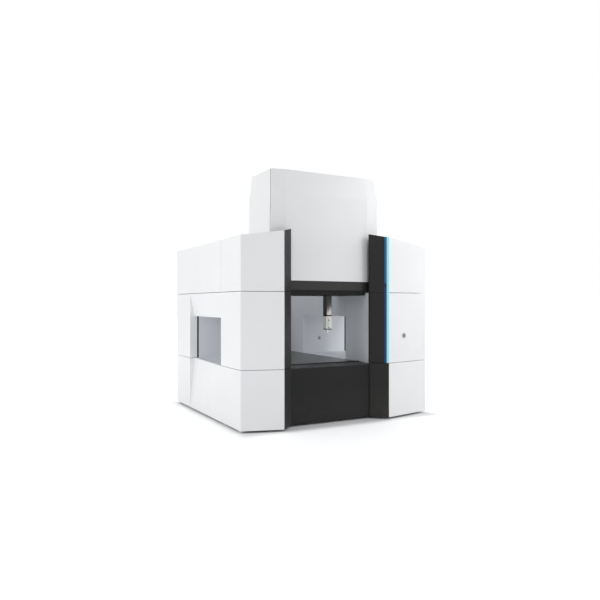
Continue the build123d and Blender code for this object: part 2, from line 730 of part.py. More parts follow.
def lean_at(z):
    """How far the hood has leant in at a height, from 0 below the shoulder to 1 at the top."""
    start = HOOD_SHOULDER_Z - HOOD_BLEND
    full = HOOD_TOP_Z - HOOD_SHOULDER_Z
    if z <= start:
        return 0.0
    if z < HOOD_SHOULDER_Z + HOOD_BLEND:
        return (z - start) ** 2 / (4 * HOOD_BLEND * full)
    return (z - HOOD_SHOULDER_Z) / full


def hood_outline(z, inset):
    """Plan of the hood at a height, each side moved in by inset."""
    lean = lean_at(z)
    climb = (z - HOOD_FOOT_Z) / (HOOD_TOP_Z - HOOD_FOOT_Z)
    side = HOOD_SIDE_X - HOOD_SIDE_LEAN * climb - HOOD_SHOULDER_LEAN * lean
    flat = HOOD_FLAT_X - HOOD_SHOULDER_LEAN * lean
    front = HOOD_FRONT_Y + HOOD_FRONT_LEAN * lean
    rear = HOOD_REAR_Y - HOOD_REAR_LEAN * lean
    outline = [
        (-flat, front),
        (flat, front),
        (side, front + HOOD_FACET),
        (side, rear - HOOD_FACET),
        (flat, rear),
        (-flat, rear),
        (-side, rear - HOOD_FACET),
        (-side, front + HOOD_FACET),
    ]
    return inset_outline(outline, inset)


def hood_heights(foot, top):
    """Levels of the hood's outlines, closer together round the shoulder."""
    step = 2 * HOOD_BLEND / HOOD_BLEND_STEPS
    start = HOOD_SHOULDER_Z - HOOD_BLEND
    shoulder = [start + step * i for i in range(HOOD_BLEND_STEPS + 1)]
    return [foot, *shoulder, top]


def hood_shells():
    """The leaning hood in two shells: the front one returns round its corners to the gap."""
    levels = hood_heights(HOOD_FOOT_Z, HOOD_TOP_Z)
    hood = layered([(z, hood_outline(z, 0.0)) for z in levels])
    inner = hood_heights(HOOD_FOOT_Z - HOOD_WALL, HOOD_TOP_Z - HOOD_WALL)
    hood -= layered([(z, hood_outline(z, HOOD_WALL)) for z in inner])
    corner_y = HOOD_FRONT_Y + HOOD_FACET + HOOD_RETURN
    parting = [(corner_y + HOOD_FRONT_LEAN * lean_at(z), z) for z in levels]
    front_part = [(HOOD_FRONT_Y, HOOD_TOP_Z), (HOOD_FRONT_Y, HOOD_FOOT_Z), *parting]
    far = HOOD_REAR_Y + HOOD_PARTING
    behind = [(y + HOOD_PARTING, z) for y, z in parting]
    rear_part = [(far, HOOD_TOP_Z), (far, HOOD_FOOT_Z), *behind]
    front = hood & across(front_part, -HOOD_SIDE_X, HOOD_SIDE_X)
    rear = hood & across(rear_part, -HOOD_SIDE_X, HOOD_SIDE_X)
    return front, rear


def bridge_fascia():
    """The black band that closes the bridge below the hood."""
    outline = hood_outline(HOOD_FOOT_Z, 0.0)
    inside = hood_outline(HOOD_FOOT_Z, HOOD_WALL)
    return prism(outline, BAND_FOOT_Z, HOOD_FOOT_Z) - prism(inside, BAND_FOOT_Z, HOOD_FOOT_Z)


def pan_outline(half, inset):
    """Plan of the bottom cover at one level."""
    x, y0, y1 = half - inset, HOOD_FRONT_Y + inset, HOOD_REAR_Y - inset
    return [(-x, y0), (x, y0), (x, y1), (-x, y1)]


def bottom_cover():
    """The shallow tapered pan under the bridge, slotted for the ram."""
    foot = PAN_HALF_X - PAN_TAPER
    pan = layered([(PAN_FOOT_Z, pan_outline(foot, 0)), (BAND_FOOT_Z, pan_outline(PAN_HALF_X, 0))])
    floor_z = PAN_FOOT_Z + HOOD_WALL
    hollow = layered(
        [
            (floor_z, pan_outline(foot, HOOD_WALL)),
            (BAND_FOOT_Z, pan_outline(PAN_HALF_X, HOOD_WALL)),
        ]
    )
    slot = block(
        -PAN_SLOT_HALF_X, PAN_SLOT_HALF_X, BRIDGE_Y - PAN_SLOT_HALF_Y,
        BRIDGE_Y + PAN_SLOT_HALF_Y, PAN_FOOT_Z, floor_z,
    )
    return pan - hollow - slot


def truck():
    """The bridge's foot over one guideway."""
    body = block(
        TRUCK_INNER_X, TRUCK_OUTER_X, TRUCK_FRONT_Y, TRUCK_REAR_Y, TRUCK_FOOT_Z, TRUCK_TOP_Z
    )
    return chamfer(body.edges().filter_by(Axis.X), BED_CHAMFER)


def truck_pads():
    """The air bearings of one truck: two on top of the guideway and two at its side."""
    pads = []
    inset = GUIDE_CHAMFER + AIR_GAP
    for y0 in (TRUCK_FRONT_Y + PAD_FROM_END, TRUCK_REAR_Y - PAD_FROM_END - PAD_LENGTH):
        pads.append(
            block(
                GUIDE_INNER_X + inset, GUIDE_OUTER_X - inset, y0, y0 + PAD_LENGTH,
                GUIDE_TOP_Z + AIR_GAP, TRUCK_FOOT_Z,
            )
        )
        x1 = GUIDE_INNER_X - AIR_GAP
        side_y = y0 + (PAD_LENGTH - SIDE_PAD_LENGTH) / 2
        pads.append(
            block(
                x1 - SIDE_PAD_THICK, x1, side_y, side_y + SIDE_PAD_LENGTH,
                TRUCK_FOOT_Z - SIDE_PAD_DEPTH, TRUCK_FOOT_Z,
            )
        )
    return pads


def y_coil():
    """The motor coil that hangs from a truck into its magnet track."""
    middle = TRACK_INNER_X + TRACK_WIDTH / 2
    return block(
        middle - COIL_THICK / 2, middle + COIL_THICK / 2,
        BRIDGE_Y - COIL_LENGTH / 2, BRIDGE_Y + COIL_LENGTH / 2,
        WALL_TOP_Z + TRACK_WALL + COIL_CLEARANCE, TRUCK_FOOT_Z,
    )


def crossbeam(middle_y):
    """One of the two hollow beams across the bridge."""
    y0, y1 = middle_y - BEAM_DEPTH / 2, middle_y + BEAM_DEPTH / 2
    beam = block(-BEAM_HALF_X, BEAM_HALF_X, y0, y1, TRUCK_TOP_Z, BEAM_TOP_Z)
    beam = chamfer(beam.edges().filter_by(Axis.X), GUIDE_CHAMFER)
    return beam - block(
        -BEAM_HALF_X, BEAM_HALF_X, y0 + BEAM_WALL, y1 - BEAM_WALL,
        TRUCK_TOP_Z + BEAM_WALL, BEAM_TOP_Z - BEAM_WALL,
    )


def x_track_span():
    """Front and rear of the magnet track on the front beam."""
    y0 = BRIDGE_Y - BEAM_SPACING / 2 - BEAM_DEPTH / 2 + PAD_FROM_END
    return y0, y0 + X_TRACK_WIDTH


def x_magnet_track():
    """The flat magnet track on top of the front beam."""
    y0, y1 = x_track_span()
    return block(-X_TRACK_HALF, X_TRACK_HALF, y0, y1, BEAM_TOP_Z, BEAM_TOP_Z + X_TRACK_THICK)


def x_coil():
    """The motor coil under the carriage plate."""
    y0, y1 = x_track_span()
    z0 = BEAM_TOP_Z + X_TRACK_THICK + AIR_GAP
    return block(RAM_X - X_COIL_HALF, RAM_X + X_COIL_HALF, y0, y1, z0, PLATE_FOOT_Z)


def carriage_frame():
    """The plate across both beams, with the sleeve that guides the ram."""
    plate = block(
        RAM_X - PLATE_HALF_X, RAM_X + PLATE_HALF_X, BRIDGE_Y - PLATE_HALF_Y,
        BRIDGE_Y + PLATE_HALF_Y, PLATE_FOOT_Z, PLATE_FOOT_Z + PLATE_THICK,
    )
    plate = chamfer(plate.edges().filter_by(Axis.Z), BED_CHAMFER)
    sleeve = square_bar(RAM_X, BRIDGE_Y, 2 * SLEEVE_HALF, SLEEVE_FOOT_Z, SLEEVE_TOP_Z)
    sleeve = chamfer(sleeve.edges().filter_by(Axis.Z), RAM_EDGE)
    way = RAM_WIDTH + 2 * (RAM_PAD + AIR_GAP)
    frame = plate + sleeve - square_bar(RAM_X, BRIDGE_Y, way, SLEEVE_FOOT_Z, SLEEVE_TOP_Z)
    seat = rod(CYLINDER_X, BRIDGE_Y, CYLINDER_R, PLATE_FOOT_Z, PLATE_FOOT_Z + PLATE_THICK)
    return frame - seat


def beam_pads():
    """The carriage's air bearings on top of the beams and between them."""
    pads = []
    half = BEAM_DEPTH / 2
    rear_middle = BRIDGE_Y + BEAM_SPACING / 2
    front_y0 = x_track_span()[1] + AIR_GAP
    front_y1 = BRIDGE_Y - BEAM_GAP_HALF - GUIDE_CHAMFER
    rear_y0, rear_y1 = rear_middle - half + GUIDE_CHAMFER, rear_middle + PAD_FROM_END
    for x in (RAM_X - PLATE_HALF_X, RAM_X + PLATE_HALF_X - SIDE_PAD_LENGTH):
        x1 = x + SIDE_PAD_LENGTH
        top = (BEAM_TOP_Z + AIR_GAP, PLATE_FOOT_Z)
        pads.append(block(x, x1, front_y0, front_y1, *top))
        pads.append(block(x, x1, rear_y0, rear_y1, *top))
    side = (TRUCK_TOP_Z + PAD_FROM_END, TRUCK_TOP_Z + PAD_FROM_END + PAD_LENGTH)
    x0, x1 = RAM_X - SLEEVE_HALF + RAM_EDGE, RAM_X + SLEEVE_HALF - RAM_EDGE
    reach = BEAM_GAP_HALF - AIR_GAP
    pads.append(block(x0, x1, BRIDGE_Y - reach, BRIDGE_Y - SLEEVE_HALF, *side))
    pads.append(block(x0, x1, BRIDGE_Y + SLEEVE_HALF, BRIDGE_Y + reach, *side))
    return pads


def ram_pads():
    """The air bearings round the ram, four low and four high in the sleeve."""
    pads = []
    near = RAM_WIDTH / 2 + AIR_GAP
    far = near + RAM_PAD
    half = RAM_WIDTH / 2 - RAM_EDGE
    levels = (SLEEVE_FOOT_Z + PAD_FROM_END, SLEEVE_TOP_Z - PAD_FROM_END - PAD_LENGTH)
    for z in levels:
        pad = block(-half, half, near, far, z, z + PAD_LENGTH)
        pads += [Pos(RAM_X, BRIDGE_Y, 0) * Rot(0, 0, 90 * i) * pad for i in range(4)]
    return pads


def counterbalance_cylinder():
    """The pneumatic cylinder that carries the ram's weight."""
    tube = rod(CYLINDER_X, BRIDGE_Y, CYLINDER_R, CYLINDER_FOOT_Z, CYLINDER_TOP_Z)
    bore_top = CYLINDER_TOP_Z - CYLINDER_CAP
    bore = rod(CYLINDER_X, BRIDGE_Y, CYLINDER_BORE_R, CYLINDER_FOOT_Z + CYLINDER_CAP, bore_top)
    mouth = rod(CYLINDER_X, BRIDGE_Y, ROD_R + AIR_GAP, bore_top, CYLINDER_TOP_Z)
    return tube - bore - mouth


def piston_rod():
    """The piston, its rod and the bracket on top of the ram."""
    piston_r = CYLINDER_BORE_R - AIR_GAP
    piston = rod(CYLINDER_X, BRIDGE_Y, piston_r, PISTON_Z, PISTON_Z + PISTON_THICK)
    stem = rod(CYLINDER_X, BRIDGE_Y, ROD_R, PISTON_Z, RAM_TOP_Z)
    bracket = block(
        RAM_X - BRACKET_HALF_Y, CYLINDER_X + BRACKET_HALF_Y, BRIDGE_Y - BRACKET_HALF_Y,
        BRIDGE_Y + BRACKET_HALF_Y, RAM_TOP_Z, RAM_TOP_Z + BRACKET_THICK,
    )
    bracket = chamfer(bracket.edges().filter_by(Axis.Z), BED_CHAMFER)
    return piston + stem + bracket


def ram():
    """The hollow square quill."""
    bar = square_bar(RAM_X, BRIDGE_Y, RAM_WIDTH, RAM_FOOT_Z, RAM_TOP_Z, RAM_EDGE)
    bore = RAM_WIDTH - 2 * RAM_WALL
    return bar - square_bar(RAM_X, BRIDGE_Y, bore, RAM_FOOT_Z + RAM_WALL, RAM_TOP_Z)


def head_adapter():
    """The black change plate between ram and probe head."""
    return square_bar(RAM_X, BRIDGE_Y, ADAPTER_WIDTH, HEAD_TOP_Z, RAM_FOOT_Z, RAM_EDGE)


def probe_head():
    """The head's casing, open below for the stylus carrier, grooved at the front."""
    casing = square_bar(RAM_X, BRIDGE_Y, HEAD_WIDTH, HEAD_FOOT_Z, HEAD_TOP_Z, HEAD_EDGE)
    casing -= square_bar(RAM_X, BRIDGE_Y, HEAD_CAVITY, HEAD_FOOT_Z, HEAD_TOP_Z - HEAD_ROOF)
    face = BRIDGE_Y - HEAD_WIDTH / 2
    x = RAM_X + HEAD_GROOVE_X
    return casing - block(x, x + HEAD_GROOVE, face, face + HEAD_GROOVE, HEAD_FOOT_Z, HEAD_TOP_Z)


def stage(travel_x, travel_y, z0):
    """A block of the head's sensing stack, clear of the cavity by its travel."""
    half_x = HEAD_CAVITY / 2 - travel_x - AIR_GAP
    half_y = HEAD_CAVITY / 2 - travel_y - AIR_GAP
    return block(
        RAM_X - half_x, RAM_X + half_x, BRIDGE_Y - half_y, BRIDGE_Y + half_y,
        z0, z0 + STAGE_HEIGHT,
    )


def probe_stages():
    """The upper stage, free along X, and the lower one, free along Y as well."""
    top = HEAD_TOP_Z - HEAD_ROOF - AIR_GAP
    upper_z = top - STAGE_HEIGHT
    lower_z = upper_z - AIR_GAP - STAGE_HEIGHT
    upper = stage(PROBE_TRAVEL, 0.0, upper_z)
    lower = stage(PROBE_TRAVEL, PROBE_TRAVEL, lower_z)
    bore_top = lower_z + CARRIER_ENTRY + 2 * PROBE_TRAVEL
    lower -= square_bar(RAM_X, BRIDGE_Y, CARRIER_WIDTH + 2 * AIR_GAP, lower_z, bore_top)
    return upper, lower, lower_z


def stylus_carrier(stage_z):
    """The square plunger in the lower stage and the black ring under the head."""
    plunger = square_bar(RAM_X, BRIDGE_Y, CARRIER_WIDTH, RING_TOP_Z, stage_z + CARRIER_ENTRY)
    ring = square_bar(RAM_X, BRIDGE_Y, HEAD_WIDTH, NECK_TOP_Z, RING_TOP_Z, HEAD_EDGE)
    return plunger + ring


def stylus_plate():
    """The round plate on its neck, bored below for the stylus."""
    plate_top = STYLUS_PLATE_Z + STYLUS_PLATE_THICK
    plate = rod(RAM_X, BRIDGE_Y, STYLUS_PLATE_R, STYLUS_PLATE_Z, plate_top)
    plate += rod(RAM_X, BRIDGE_Y, NECK_R, plate_top, NECK_TOP_Z)
    seat_top = STYLUS_PLATE_Z + STYLUS_SEAT
    return plate - rod(RAM_X, BRIDGE_Y, STYLUS_R + STYLUS_FIT, STYLUS_PLATE_Z, seat_top)


def stylus():
    """The stylus shaft: a holder seated in the plate and a thin stem down to the ball."""
    holder_z = STYLUS_PLATE_Z - STYLUS_HOLDER
    stem = rod(RAM_X, BRIDGE_Y, STYLUS_R / 2, TIP_Z + 2 * BALL_R - AIR_GAP, holder_z)
    seat_top = STYLUS_PLATE_Z + STYLUS_SEAT
    return stem + rod(RAM_X, BRIDGE_Y, STYLUS_R, holder_z, seat_top)


def stylus_ball():
    """The ruby ball, with a flat where the shaft meets it."""
    ball = Pos(RAM_X, BRIDGE_Y, TIP_Z + BALL_R) * Sphere(BALL_R)
    seat = TIP_Z + 2 * BALL_R
    return ball - block(
        RAM_X - BALL_R, RAM_X + BALL_R, BRIDGE_Y - BALL_R, BRIDGE_Y + BALL_R,
        seat - AIR_GAP, seat,
    )


def lock(wall):
    """A quarter-turn lock on its axis: slotted disc, shaft through the wall and tongue."""
    back = -wall - 2 * AIR_GAP - LOCK_THICK
    top = AIR_GAP + LOCK_THICK
    disc = rod(0, 0, LOCK_R, AIR_GAP, top)
    slot = block(-LOCK_R / 2, LOCK_R / 2, -LOCK_SLOT / 2, LOCK_SLOT / 2, top - LOCK_THICK / 2, top)
    shaft = rod(0, 0, LOCK_SHAFT_R, back, AIR_GAP)
    tongue = block(-LOCK_SHAFT_R, LOCK_SHAFT_R, -LOCK_TONGUE, LOCK_SHAFT_R, back, back + LOCK_THICK)
    return disc - slot + shaft + tongue


def lock_hole(wall):
    """The hole that a lock's shaft turns in."""
    return rod(0, 0, LOCK_SHAFT_R + LOCK_FIT, -wall - SKIN, SKIN)


def panel_lock_place():
    """Where the panel lock sits on the right front facet, its axis pointing out."""
    width = RIGHT_OUTER - RIDGE_X
    x = RIDGE_X + PANEL_LOCK_ALONG * width
    turn = degrees(atan2(FACET_SETBACK, width))
    return Pos(x, facet_y(RIGHT_OUTER, x), PANEL_LOCK_Z) * Rot(0, 0, turn) * Rot(90, 0, 0)


def tunnel_lock_place():
    """Where the tunnel lock sits on the rear wall of the right tunnel."""
    return Pos(TUNNEL_LOCK_X, WINDOW_REAR_Y, TUNNEL_LOCK_Z) * Rot(90, 0, 0)


def write_bed():
    """Bed, feet, table, walls and everything that the bridge runs on."""
    write("machine_bed", machine_bed())
    write("air_spring_feet", *[Pos(x, y, 0) * air_spring() for x, y in spring_places()])
    write("measuring_table", measuring_table())
    write("table_inserts", *[table_insert(x, y) for x, y in insert_places()])
    room = LOCK_TONGUE + LOCK_THICK
    depth = SLEEVE_WALL + 3 * LOCK_THICK
    lock_room = tunnel_lock_place() * block(-room, room, -room, room, -depth, -SLEEVE_WALL)
    write("left_guide_wall", on_left(guide_wall()))
    write("right_guide_wall", guide_wall() - lock_room)
    write("y_guideways", guideway(), on_left(guideway()))
    write("y_magnet_tracks", magnet_track(), on_left(magnet_track()))
    strips = ledge_strips()
    write("ledge_covers", *strips, *[on_left(strip) for strip in strips])


def write_housing():
    """Linings, covers, frame, pillars, panels and the locks in them."""
    write("left_inner_lining", on_left(inner_lining(LEFT_OUTER)))
    tunnel_hole = tunnel_lock_place() * lock_hole(SLEEVE_WALL)
    write("right_inner_lining", inner_lining(RIGHT_OUTER) - tunnel_hole)
    write("housing_frames", on_left(housing_frame(LEFT_OUTER)), housing_frame(RIGHT_OUTER))
    write("window_gaskets", on_left(window_gasket(LEFT_OUTER)), window_gasket(RIGHT_OUTER))
    write("left_lower_cover", on_left(lower_cover(LEFT_OUTER)))
    write("left_middle_cover", on_left(middle_cover(LEFT_OUTER)))
    front, rear = upper_covers(LEFT_OUTER)
    write("left_upper_front_cover", on_left(front))
    write("left_upper_rear_cover", on_left(rear))
    write("right_lower_cover", lower_cover(RIGHT_OUTER))
    panel_hole = panel_lock_place() * lock_hole(SKIN)
    write("right_middle_cover", middle_cover(RIGHT_OUTER) - panel_hole)
    front, rear = upper_covers(RIGHT_OUTER)
    write("right_upper_front_cover", front)
    write("right_upper_rear_cover", rear)
    panels = (on_left(tower_inner_panel(LEFT_OUTER)), tower_inner_panel(RIGHT_OUTER))
    write("tower_inner_panels", *panels)
    write("rear_lower_panel", rear_lower_panel())
    write("rear_upper_panel", rear_upper_panel())
    tiers = {
        "lower": (COVER_FOOT_Z, TABLE_Z - SEAM / 2),
        "middle": (TABLE_Z + SEAM / 2, LEDGE_Z - SEAM / 2),
        "upper": (LEDGE_Z + SEAM / 2, PILLAR_INNER_TOP_Z),
    }
    for tier, (z0, z1) in tiers.items():
        write(f"left_{tier}_pillar", on_left(pillar(z0, z1)))
        write(f"right_{tier}_pillar", pillar(z0, z1, with_strip=tier != "lower"))
    write("light_strip", light_strip())
    write("front_panel", front_panel())
    write("front_sill", front_sill())
    write("panel_lock", panel_lock_place() * lock(SKIN))
    write("tunnel_lock", tunnel_lock_place() * lock(SLEEVE_WALL))


def write_bridge():
    """All that runs back and forth on the guideways."""
    write("left_truck", on_left(truck()))
    write("right_truck", truck())
    pads = truck_pads()
    write("bridge_air_pads", *pads, *[on_left(pad) for pad in pads])
    write("y_motor_coils", y_coil(), on_left(y_coil()))
    write("front_crossbeam", crossbeam(BRIDGE_Y - BEAM_SPACING / 2))
    write("rear_crossbeam", crossbeam(BRIDGE_Y + BEAM_SPACING / 2))
    write("x_magnet_track", x_magnet_track())
    write("bridge_fascia", bridge_fascia())
    write("bottom_cover", bottom_cover())
    front, rear = hood_shells()
    write("hood_front_shell", front)
    write("hood_rear_shell", rear)


def write_carriage():
    """All that runs across the beams with the ram."""
    write("carriage_frame", carriage_frame())
    write("carriage_air_pads", *beam_pads(), *ram_pads())
    write("x_motor_coil", x_coil())
    write("counterbalance_cylinder", counterbalance_cylinder())


def write_ram():
    """The ram, the probe head on it and the stylus."""
    write("ram", ram())
    write("piston_rod", piston_rod())
    write("head_adapter", head_adapter())
    write("probe_head", probe_head())
    upper, lower, lower_z = probe_stages()
    write("probe_x_stage", upper)
    write("probe_y_stage", lower)
    write("stylus_carrier", stylus_carrier(lower_z))
    write("stylus_plate", stylus_plate())
    write("stylus", stylus())
    write("stylus_ball", stylus_ball())


os.makedirs("parts", exist_ok=True)
write_bed()
write_housing()
write_bridge()
write_carriage()
write_ram()
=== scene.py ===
import json
from math import cos, pi, radians, sin, tan

import bmesh
import bpy
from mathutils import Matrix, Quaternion, Vector

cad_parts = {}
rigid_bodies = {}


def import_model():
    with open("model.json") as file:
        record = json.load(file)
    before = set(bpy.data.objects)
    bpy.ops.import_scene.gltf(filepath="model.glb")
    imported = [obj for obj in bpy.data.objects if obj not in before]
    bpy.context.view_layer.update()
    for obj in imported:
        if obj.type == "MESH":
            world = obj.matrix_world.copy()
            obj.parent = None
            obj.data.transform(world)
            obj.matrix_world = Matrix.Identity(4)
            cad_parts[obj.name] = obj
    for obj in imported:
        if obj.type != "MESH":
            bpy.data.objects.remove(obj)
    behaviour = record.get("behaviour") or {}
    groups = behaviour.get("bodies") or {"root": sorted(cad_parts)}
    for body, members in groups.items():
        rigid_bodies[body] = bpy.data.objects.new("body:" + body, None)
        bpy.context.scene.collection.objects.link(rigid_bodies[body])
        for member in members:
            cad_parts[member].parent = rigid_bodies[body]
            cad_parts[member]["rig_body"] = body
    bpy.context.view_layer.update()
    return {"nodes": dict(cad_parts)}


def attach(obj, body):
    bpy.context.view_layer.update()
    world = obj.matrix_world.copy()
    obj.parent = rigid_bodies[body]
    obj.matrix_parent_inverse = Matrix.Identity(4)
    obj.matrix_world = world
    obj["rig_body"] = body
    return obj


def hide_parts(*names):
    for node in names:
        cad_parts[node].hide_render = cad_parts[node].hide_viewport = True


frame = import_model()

# The studio comes before the machine: camera, soft lamps, white surroundings and floor.
# The camera stands at eye height, in front of the machine and to its left, and looks level.
camera_data = bpy.data.cameras.new("studio_camera")
camera_data.lens = 34.8
camera_data.sensor_width = 36.0
camera_data.shift_y = 0.007
camera = bpy.data.objects.new("studio_camera", camera_data)
camera.location = (-4.2265, -7.7605, 1.582)
camera.rotation_euler = (radians(90), 0, radians(-28.8))
bpy.context.scene.collection.objects.link(camera)
bpy.context.scene.camera = camera
bpy.context.scene.view_settings.view_transform = "Standard"


def soft_lamp(name, place, target, width, height, power, roll=0.0):
    """A rectangular lamp in metres and watts, turned towards a target."""
    data = bpy.data.lights.new(name, "AREA")
    data.shape = "RECTANGLE"
    data.size = width
    data.size_y = height
    data.energy = power
    lamp = bpy.data.objects.new(name, data)
    lamp.location = place
    way = Vector(target) - Vector(place)
    lamp.rotation_euler = (
        way.to_track_quat("-Z", "Y") @ Quaternion((0, 0, 1), radians(roll))
    ).to_euler()
    bpy.context.scene.collection.objects.link(lamp)


soft_lamp("left_softbox", (-9.4, -1.2, 3.4), (-1.4, 0.0, 1.4), 5.0, 5.0, 262)
soft_lamp("right_high_softbox", (3.4, -3.6, 4.4), (0.4, -1.1, 2.5), 2.4, 2.4, 62)
soft_lamp("right_low_softbox", (3.565, -5.86, 1.20), (0.1, -0.7, 1.35), 0.7, 0.7, 24, roll=44)
soft_lamp("left_low_softbox", (-2.6, -8.0, 0.9), (-0.6, -1.2, 1.0), 2.0, 1.2, 20)
soft_lamp("right_side_softbox", (4.8, -1.6, 1.9), (0.9, 0.6, 1.0), 2.0, 1.8, 20)
soft_lamp("rear_softbox", (0.5, 9.0, 4.5), (0.0, 1.0, 1.6), 5.0, 4.0, 180)
soft_lamp("top_softbox", (0.0, 0.95, 5.6), (0.0, 0.6, 0.8), 1.4, 1.2, 24)

world = bpy.data.worlds.new("white_studio")
bpy.context.scene.world = world
world.use_nodes = True
sky = world.node_tree
sky.nodes.clear()


def node(tree, kind, **settings):
    """A new node with its properties set."""
    made = tree.nodes.new(kind)
    for key, value in settings.items():
        setattr(made, key, value)
    return made


def wire(tree, source, target):
    """Links an output to a socket, or sets the socket to a plain value."""
    if hasattr(source, "is_output"):
        tree.links.new(source, target)
    else:
        target.default_value = source


def maths(tree, operation, first, second=0.0, third=0.0):
    """The result of one maths node."""
    made = node(tree, "ShaderNodeMath", operation=operation)
    for value, socket in zip((first, second, third), made.inputs):
        wire(tree, value, socket)
    return made.outputs[0]


def seen_directly(tree):
    """1 for what the camera sees, itself or in a mirror or glass, and 0 for diffuse light."""
    rays = node(tree, "ShaderNodeLightPath").outputs
    mirrored = maths(tree, "MAXIMUM", rays["Is Glossy Ray"], rays["Is Transmission Ray"])
    return maths(tree, "MAXIMUM", rays["Is Camera Ray"], mirrored)


ambient = node(sky, "ShaderNodeBackground")
ambient.inputs["Color"].default_value = (0.96, 0.98, 1.0, 1)
ambient.inputs["Strength"].default_value = 0.585
backdrop = node(sky, "ShaderNodeBackground")
backdrop.inputs["Color"].default_value = (1, 1, 1, 1)
backdrop.inputs["Strength"].default_value = 1.0
choice = node(sky, "ShaderNodeMixShader")
sky_out = node(sky, "ShaderNodeOutputWorld")
wire(sky, seen_directly(sky), choice.inputs[0])
wire(sky, ambient.outputs[0], choice.inputs[1])
wire(sky, backdrop.outputs[0], choice.inputs[2])
wire(sky, choice.outputs[0], sky_out.inputs[0])

floor_paint = bpy.data.materials.new("studio_floor")
floor_paint.use_nodes = True
floor_tree = floor_paint.node_tree
floor_shader = floor_tree.nodes["Principled BSDF"]
floor_shader.inputs["Base Color"].default_value = (0.86, 0.86, 0.86, 1)
floor_shader.inputs["Roughness"].default_value = 0.9
floor_shader.inputs["Specular IOR Level"].default_value = 0.1
floor_shader.inputs["Emission Color"].default_value = (1, 1, 1, 1)
# The floor's glow for camera rays is nil under the machine and rises over the first 0.2 m outside
# its footprint. This is painted shade: a soft grey band round the base in place of a contact
# shadow. A second ramp lifts the far floor further, to white.
FOOTPRINT_HALF = {"X": 1.42, "Y": 1.34}
BASE_SHADE_AND_GLOW_RAMPS = ((-0.02, 0.2, 0.35), (0.8, 3.6, 0.40))
FLOOR_HALF = 60
floor_place = node(floor_tree, "ShaderNodeSeparateXYZ")
wire(floor_tree, node(floor_tree, "ShaderNodeTexCoord").outputs["Object"], floor_place.inputs[0])
outside = [
    maths(floor_tree, "SUBTRACT", maths(floor_tree, "ABSOLUTE", floor_place.outputs[axis]), half)
    for axis, half in FOOTPRINT_HALF.items()
]
away = maths(floor_tree, "MAXIMUM", *outside)
floor_glow = 0.0
for near, far, amount in BASE_SHADE_AND_GLOW_RAMPS:
    ramp = node(floor_tree, "ShaderNodeMapRange", interpolation_type="SMOOTHSTEP")
    for ramp_value, ramp_socket in zip((away, near, far, 0.0, amount), ramp.inputs):
        wire(floor_tree, ramp_value, ramp_socket)
    floor_glow = maths(floor_tree, "ADD", ramp.outputs[0], floor_glow)
floor_glow = maths(floor_tree, "MULTIPLY", seen_directly(floor_tree), floor_glow)
wire(floor_tree, floor_glow, floor_shader.inputs["Emission Strength"])
floor_mesh = bpy.data.meshes.new("studio_floor")
floor_mesh.from_pydata(
    [(FLOOR_HALF * x, FLOOR_HALF * y, 0) for x, y in ((-1, -1), (1, -1), (1, 1), (-1, 1))],
    [], [(0, 1, 2, 3)],
)
floor_mesh.materials.append(floor_paint)
floor = bpy.data.objects.new("studio_floor", floor_mesh)
bpy.context.scene.collection.objects.link(floor)

# The machine bed: one grey iron casting under table and walls.
# It is painted in the foundry, machined on top and set down on four air springs.
# The machine's sizes are millimetres from the middle of the front opening, at the floor.
FRAME_SHIFT = Vector((-128.5, -1374.5, 0.0))
SURFACE = [
    ("Colour", "NodeSocketColor"), ("Roughness", "NodeSocketFloat"), ("Height", "NodeSocketFloat"),
]


def spot(x, y, z):
    """A place on the machine in the metres of the scene."""
    return (Vector((x, y, z)) + FRAME_SHIFT) / 1000


def group(name, inputs, outputs):
    """A shader node group with named sockets, and its input and output nodes."""
    tree = bpy.data.node_groups.new(name, "ShaderNodeTree")
    for label, kind, value in inputs:
        socket = tree.interface.new_socket(name=label, in_out="INPUT", socket_type=kind)
        socket.default_value = value
    for label, kind in outputs:
        tree.interface.new_socket(name=label, in_out="OUTPUT", socket_type=kind)
    return tree, node(tree, "NodeGroupInput"), node(tree, "NodeGroupOutput")


def noise(tree, place, scale, detail=3.0, roughness=0.5):
    """A noise pattern's value at a place."""
    made = node(tree, "ShaderNodeTexNoise")
    wire(tree, place, made.inputs["Vector"])
    wire(tree, scale, made.inputs["Scale"])
    made.inputs["Detail"].default_value = detail
    made.inputs["Roughness"].default_value = roughness
    return made.outputs["Fac"]


def spread(tree, value, low, high, to_low, to_high):
    """A value taken from one range into another and held at its ends."""
    made = node(tree, "ShaderNodeMapRange")
    for item, socket in zip((value, low, high, to_low, to_high), made.inputs):
        wire(tree, item, socket)
    return made.outputs[0]


def blend_colours(tree, share, first, second, way="MIX"):
    """Two colours mixed or multiplied by a share."""
    made = node(tree, "ShaderNodeMix", data_type="RGBA", blend_type=way)
    wire(tree, share, made.inputs[0])
    wire(tree, first, made.inputs[6])
    wire(tree, second, made.inputs[7])
    return made.outputs[2]


coat_tree, coat_in, coat_out = group(
    "sprayed_coat",
    [
        ("Colour", "NodeSocketColor", (0.8, 0.8, 0.8, 1)),
        ("Gloss Level", "NodeSocketFloat", 0.4),
        ("Peel Size", "NodeSocketFloat", 0.002),
        ("Dust", "NodeSocketFloat", 0.1),
    ],
    SURFACE,
)
coat_place = node(coat_tree, "ShaderNodeTexCoord").outputs["Object"]
peel_scale = maths(coat_tree, "DIVIDE", 1.0, coat_in.outputs["Peel Size"])
peel = noise(coat_tree, coat_place, peel_scale, 2.0)
cloud = noise(coat_tree, coat_place, 1.6, 4.0)
smear = noise(coat_tree, coat_place, 11.0, 5.0, 0.6)
height_above_floor = node(coat_tree, "ShaderNodeSeparateXYZ")
wire(coat_tree, coat_place, height_above_floor.inputs[0])
low_down = spread(coat_tree, height_above_floor.outputs["Z"], 0.0, 0.5, 1.0, 0.0)
settled = maths(coat_tree, "MULTIPLY", low_down, smear)
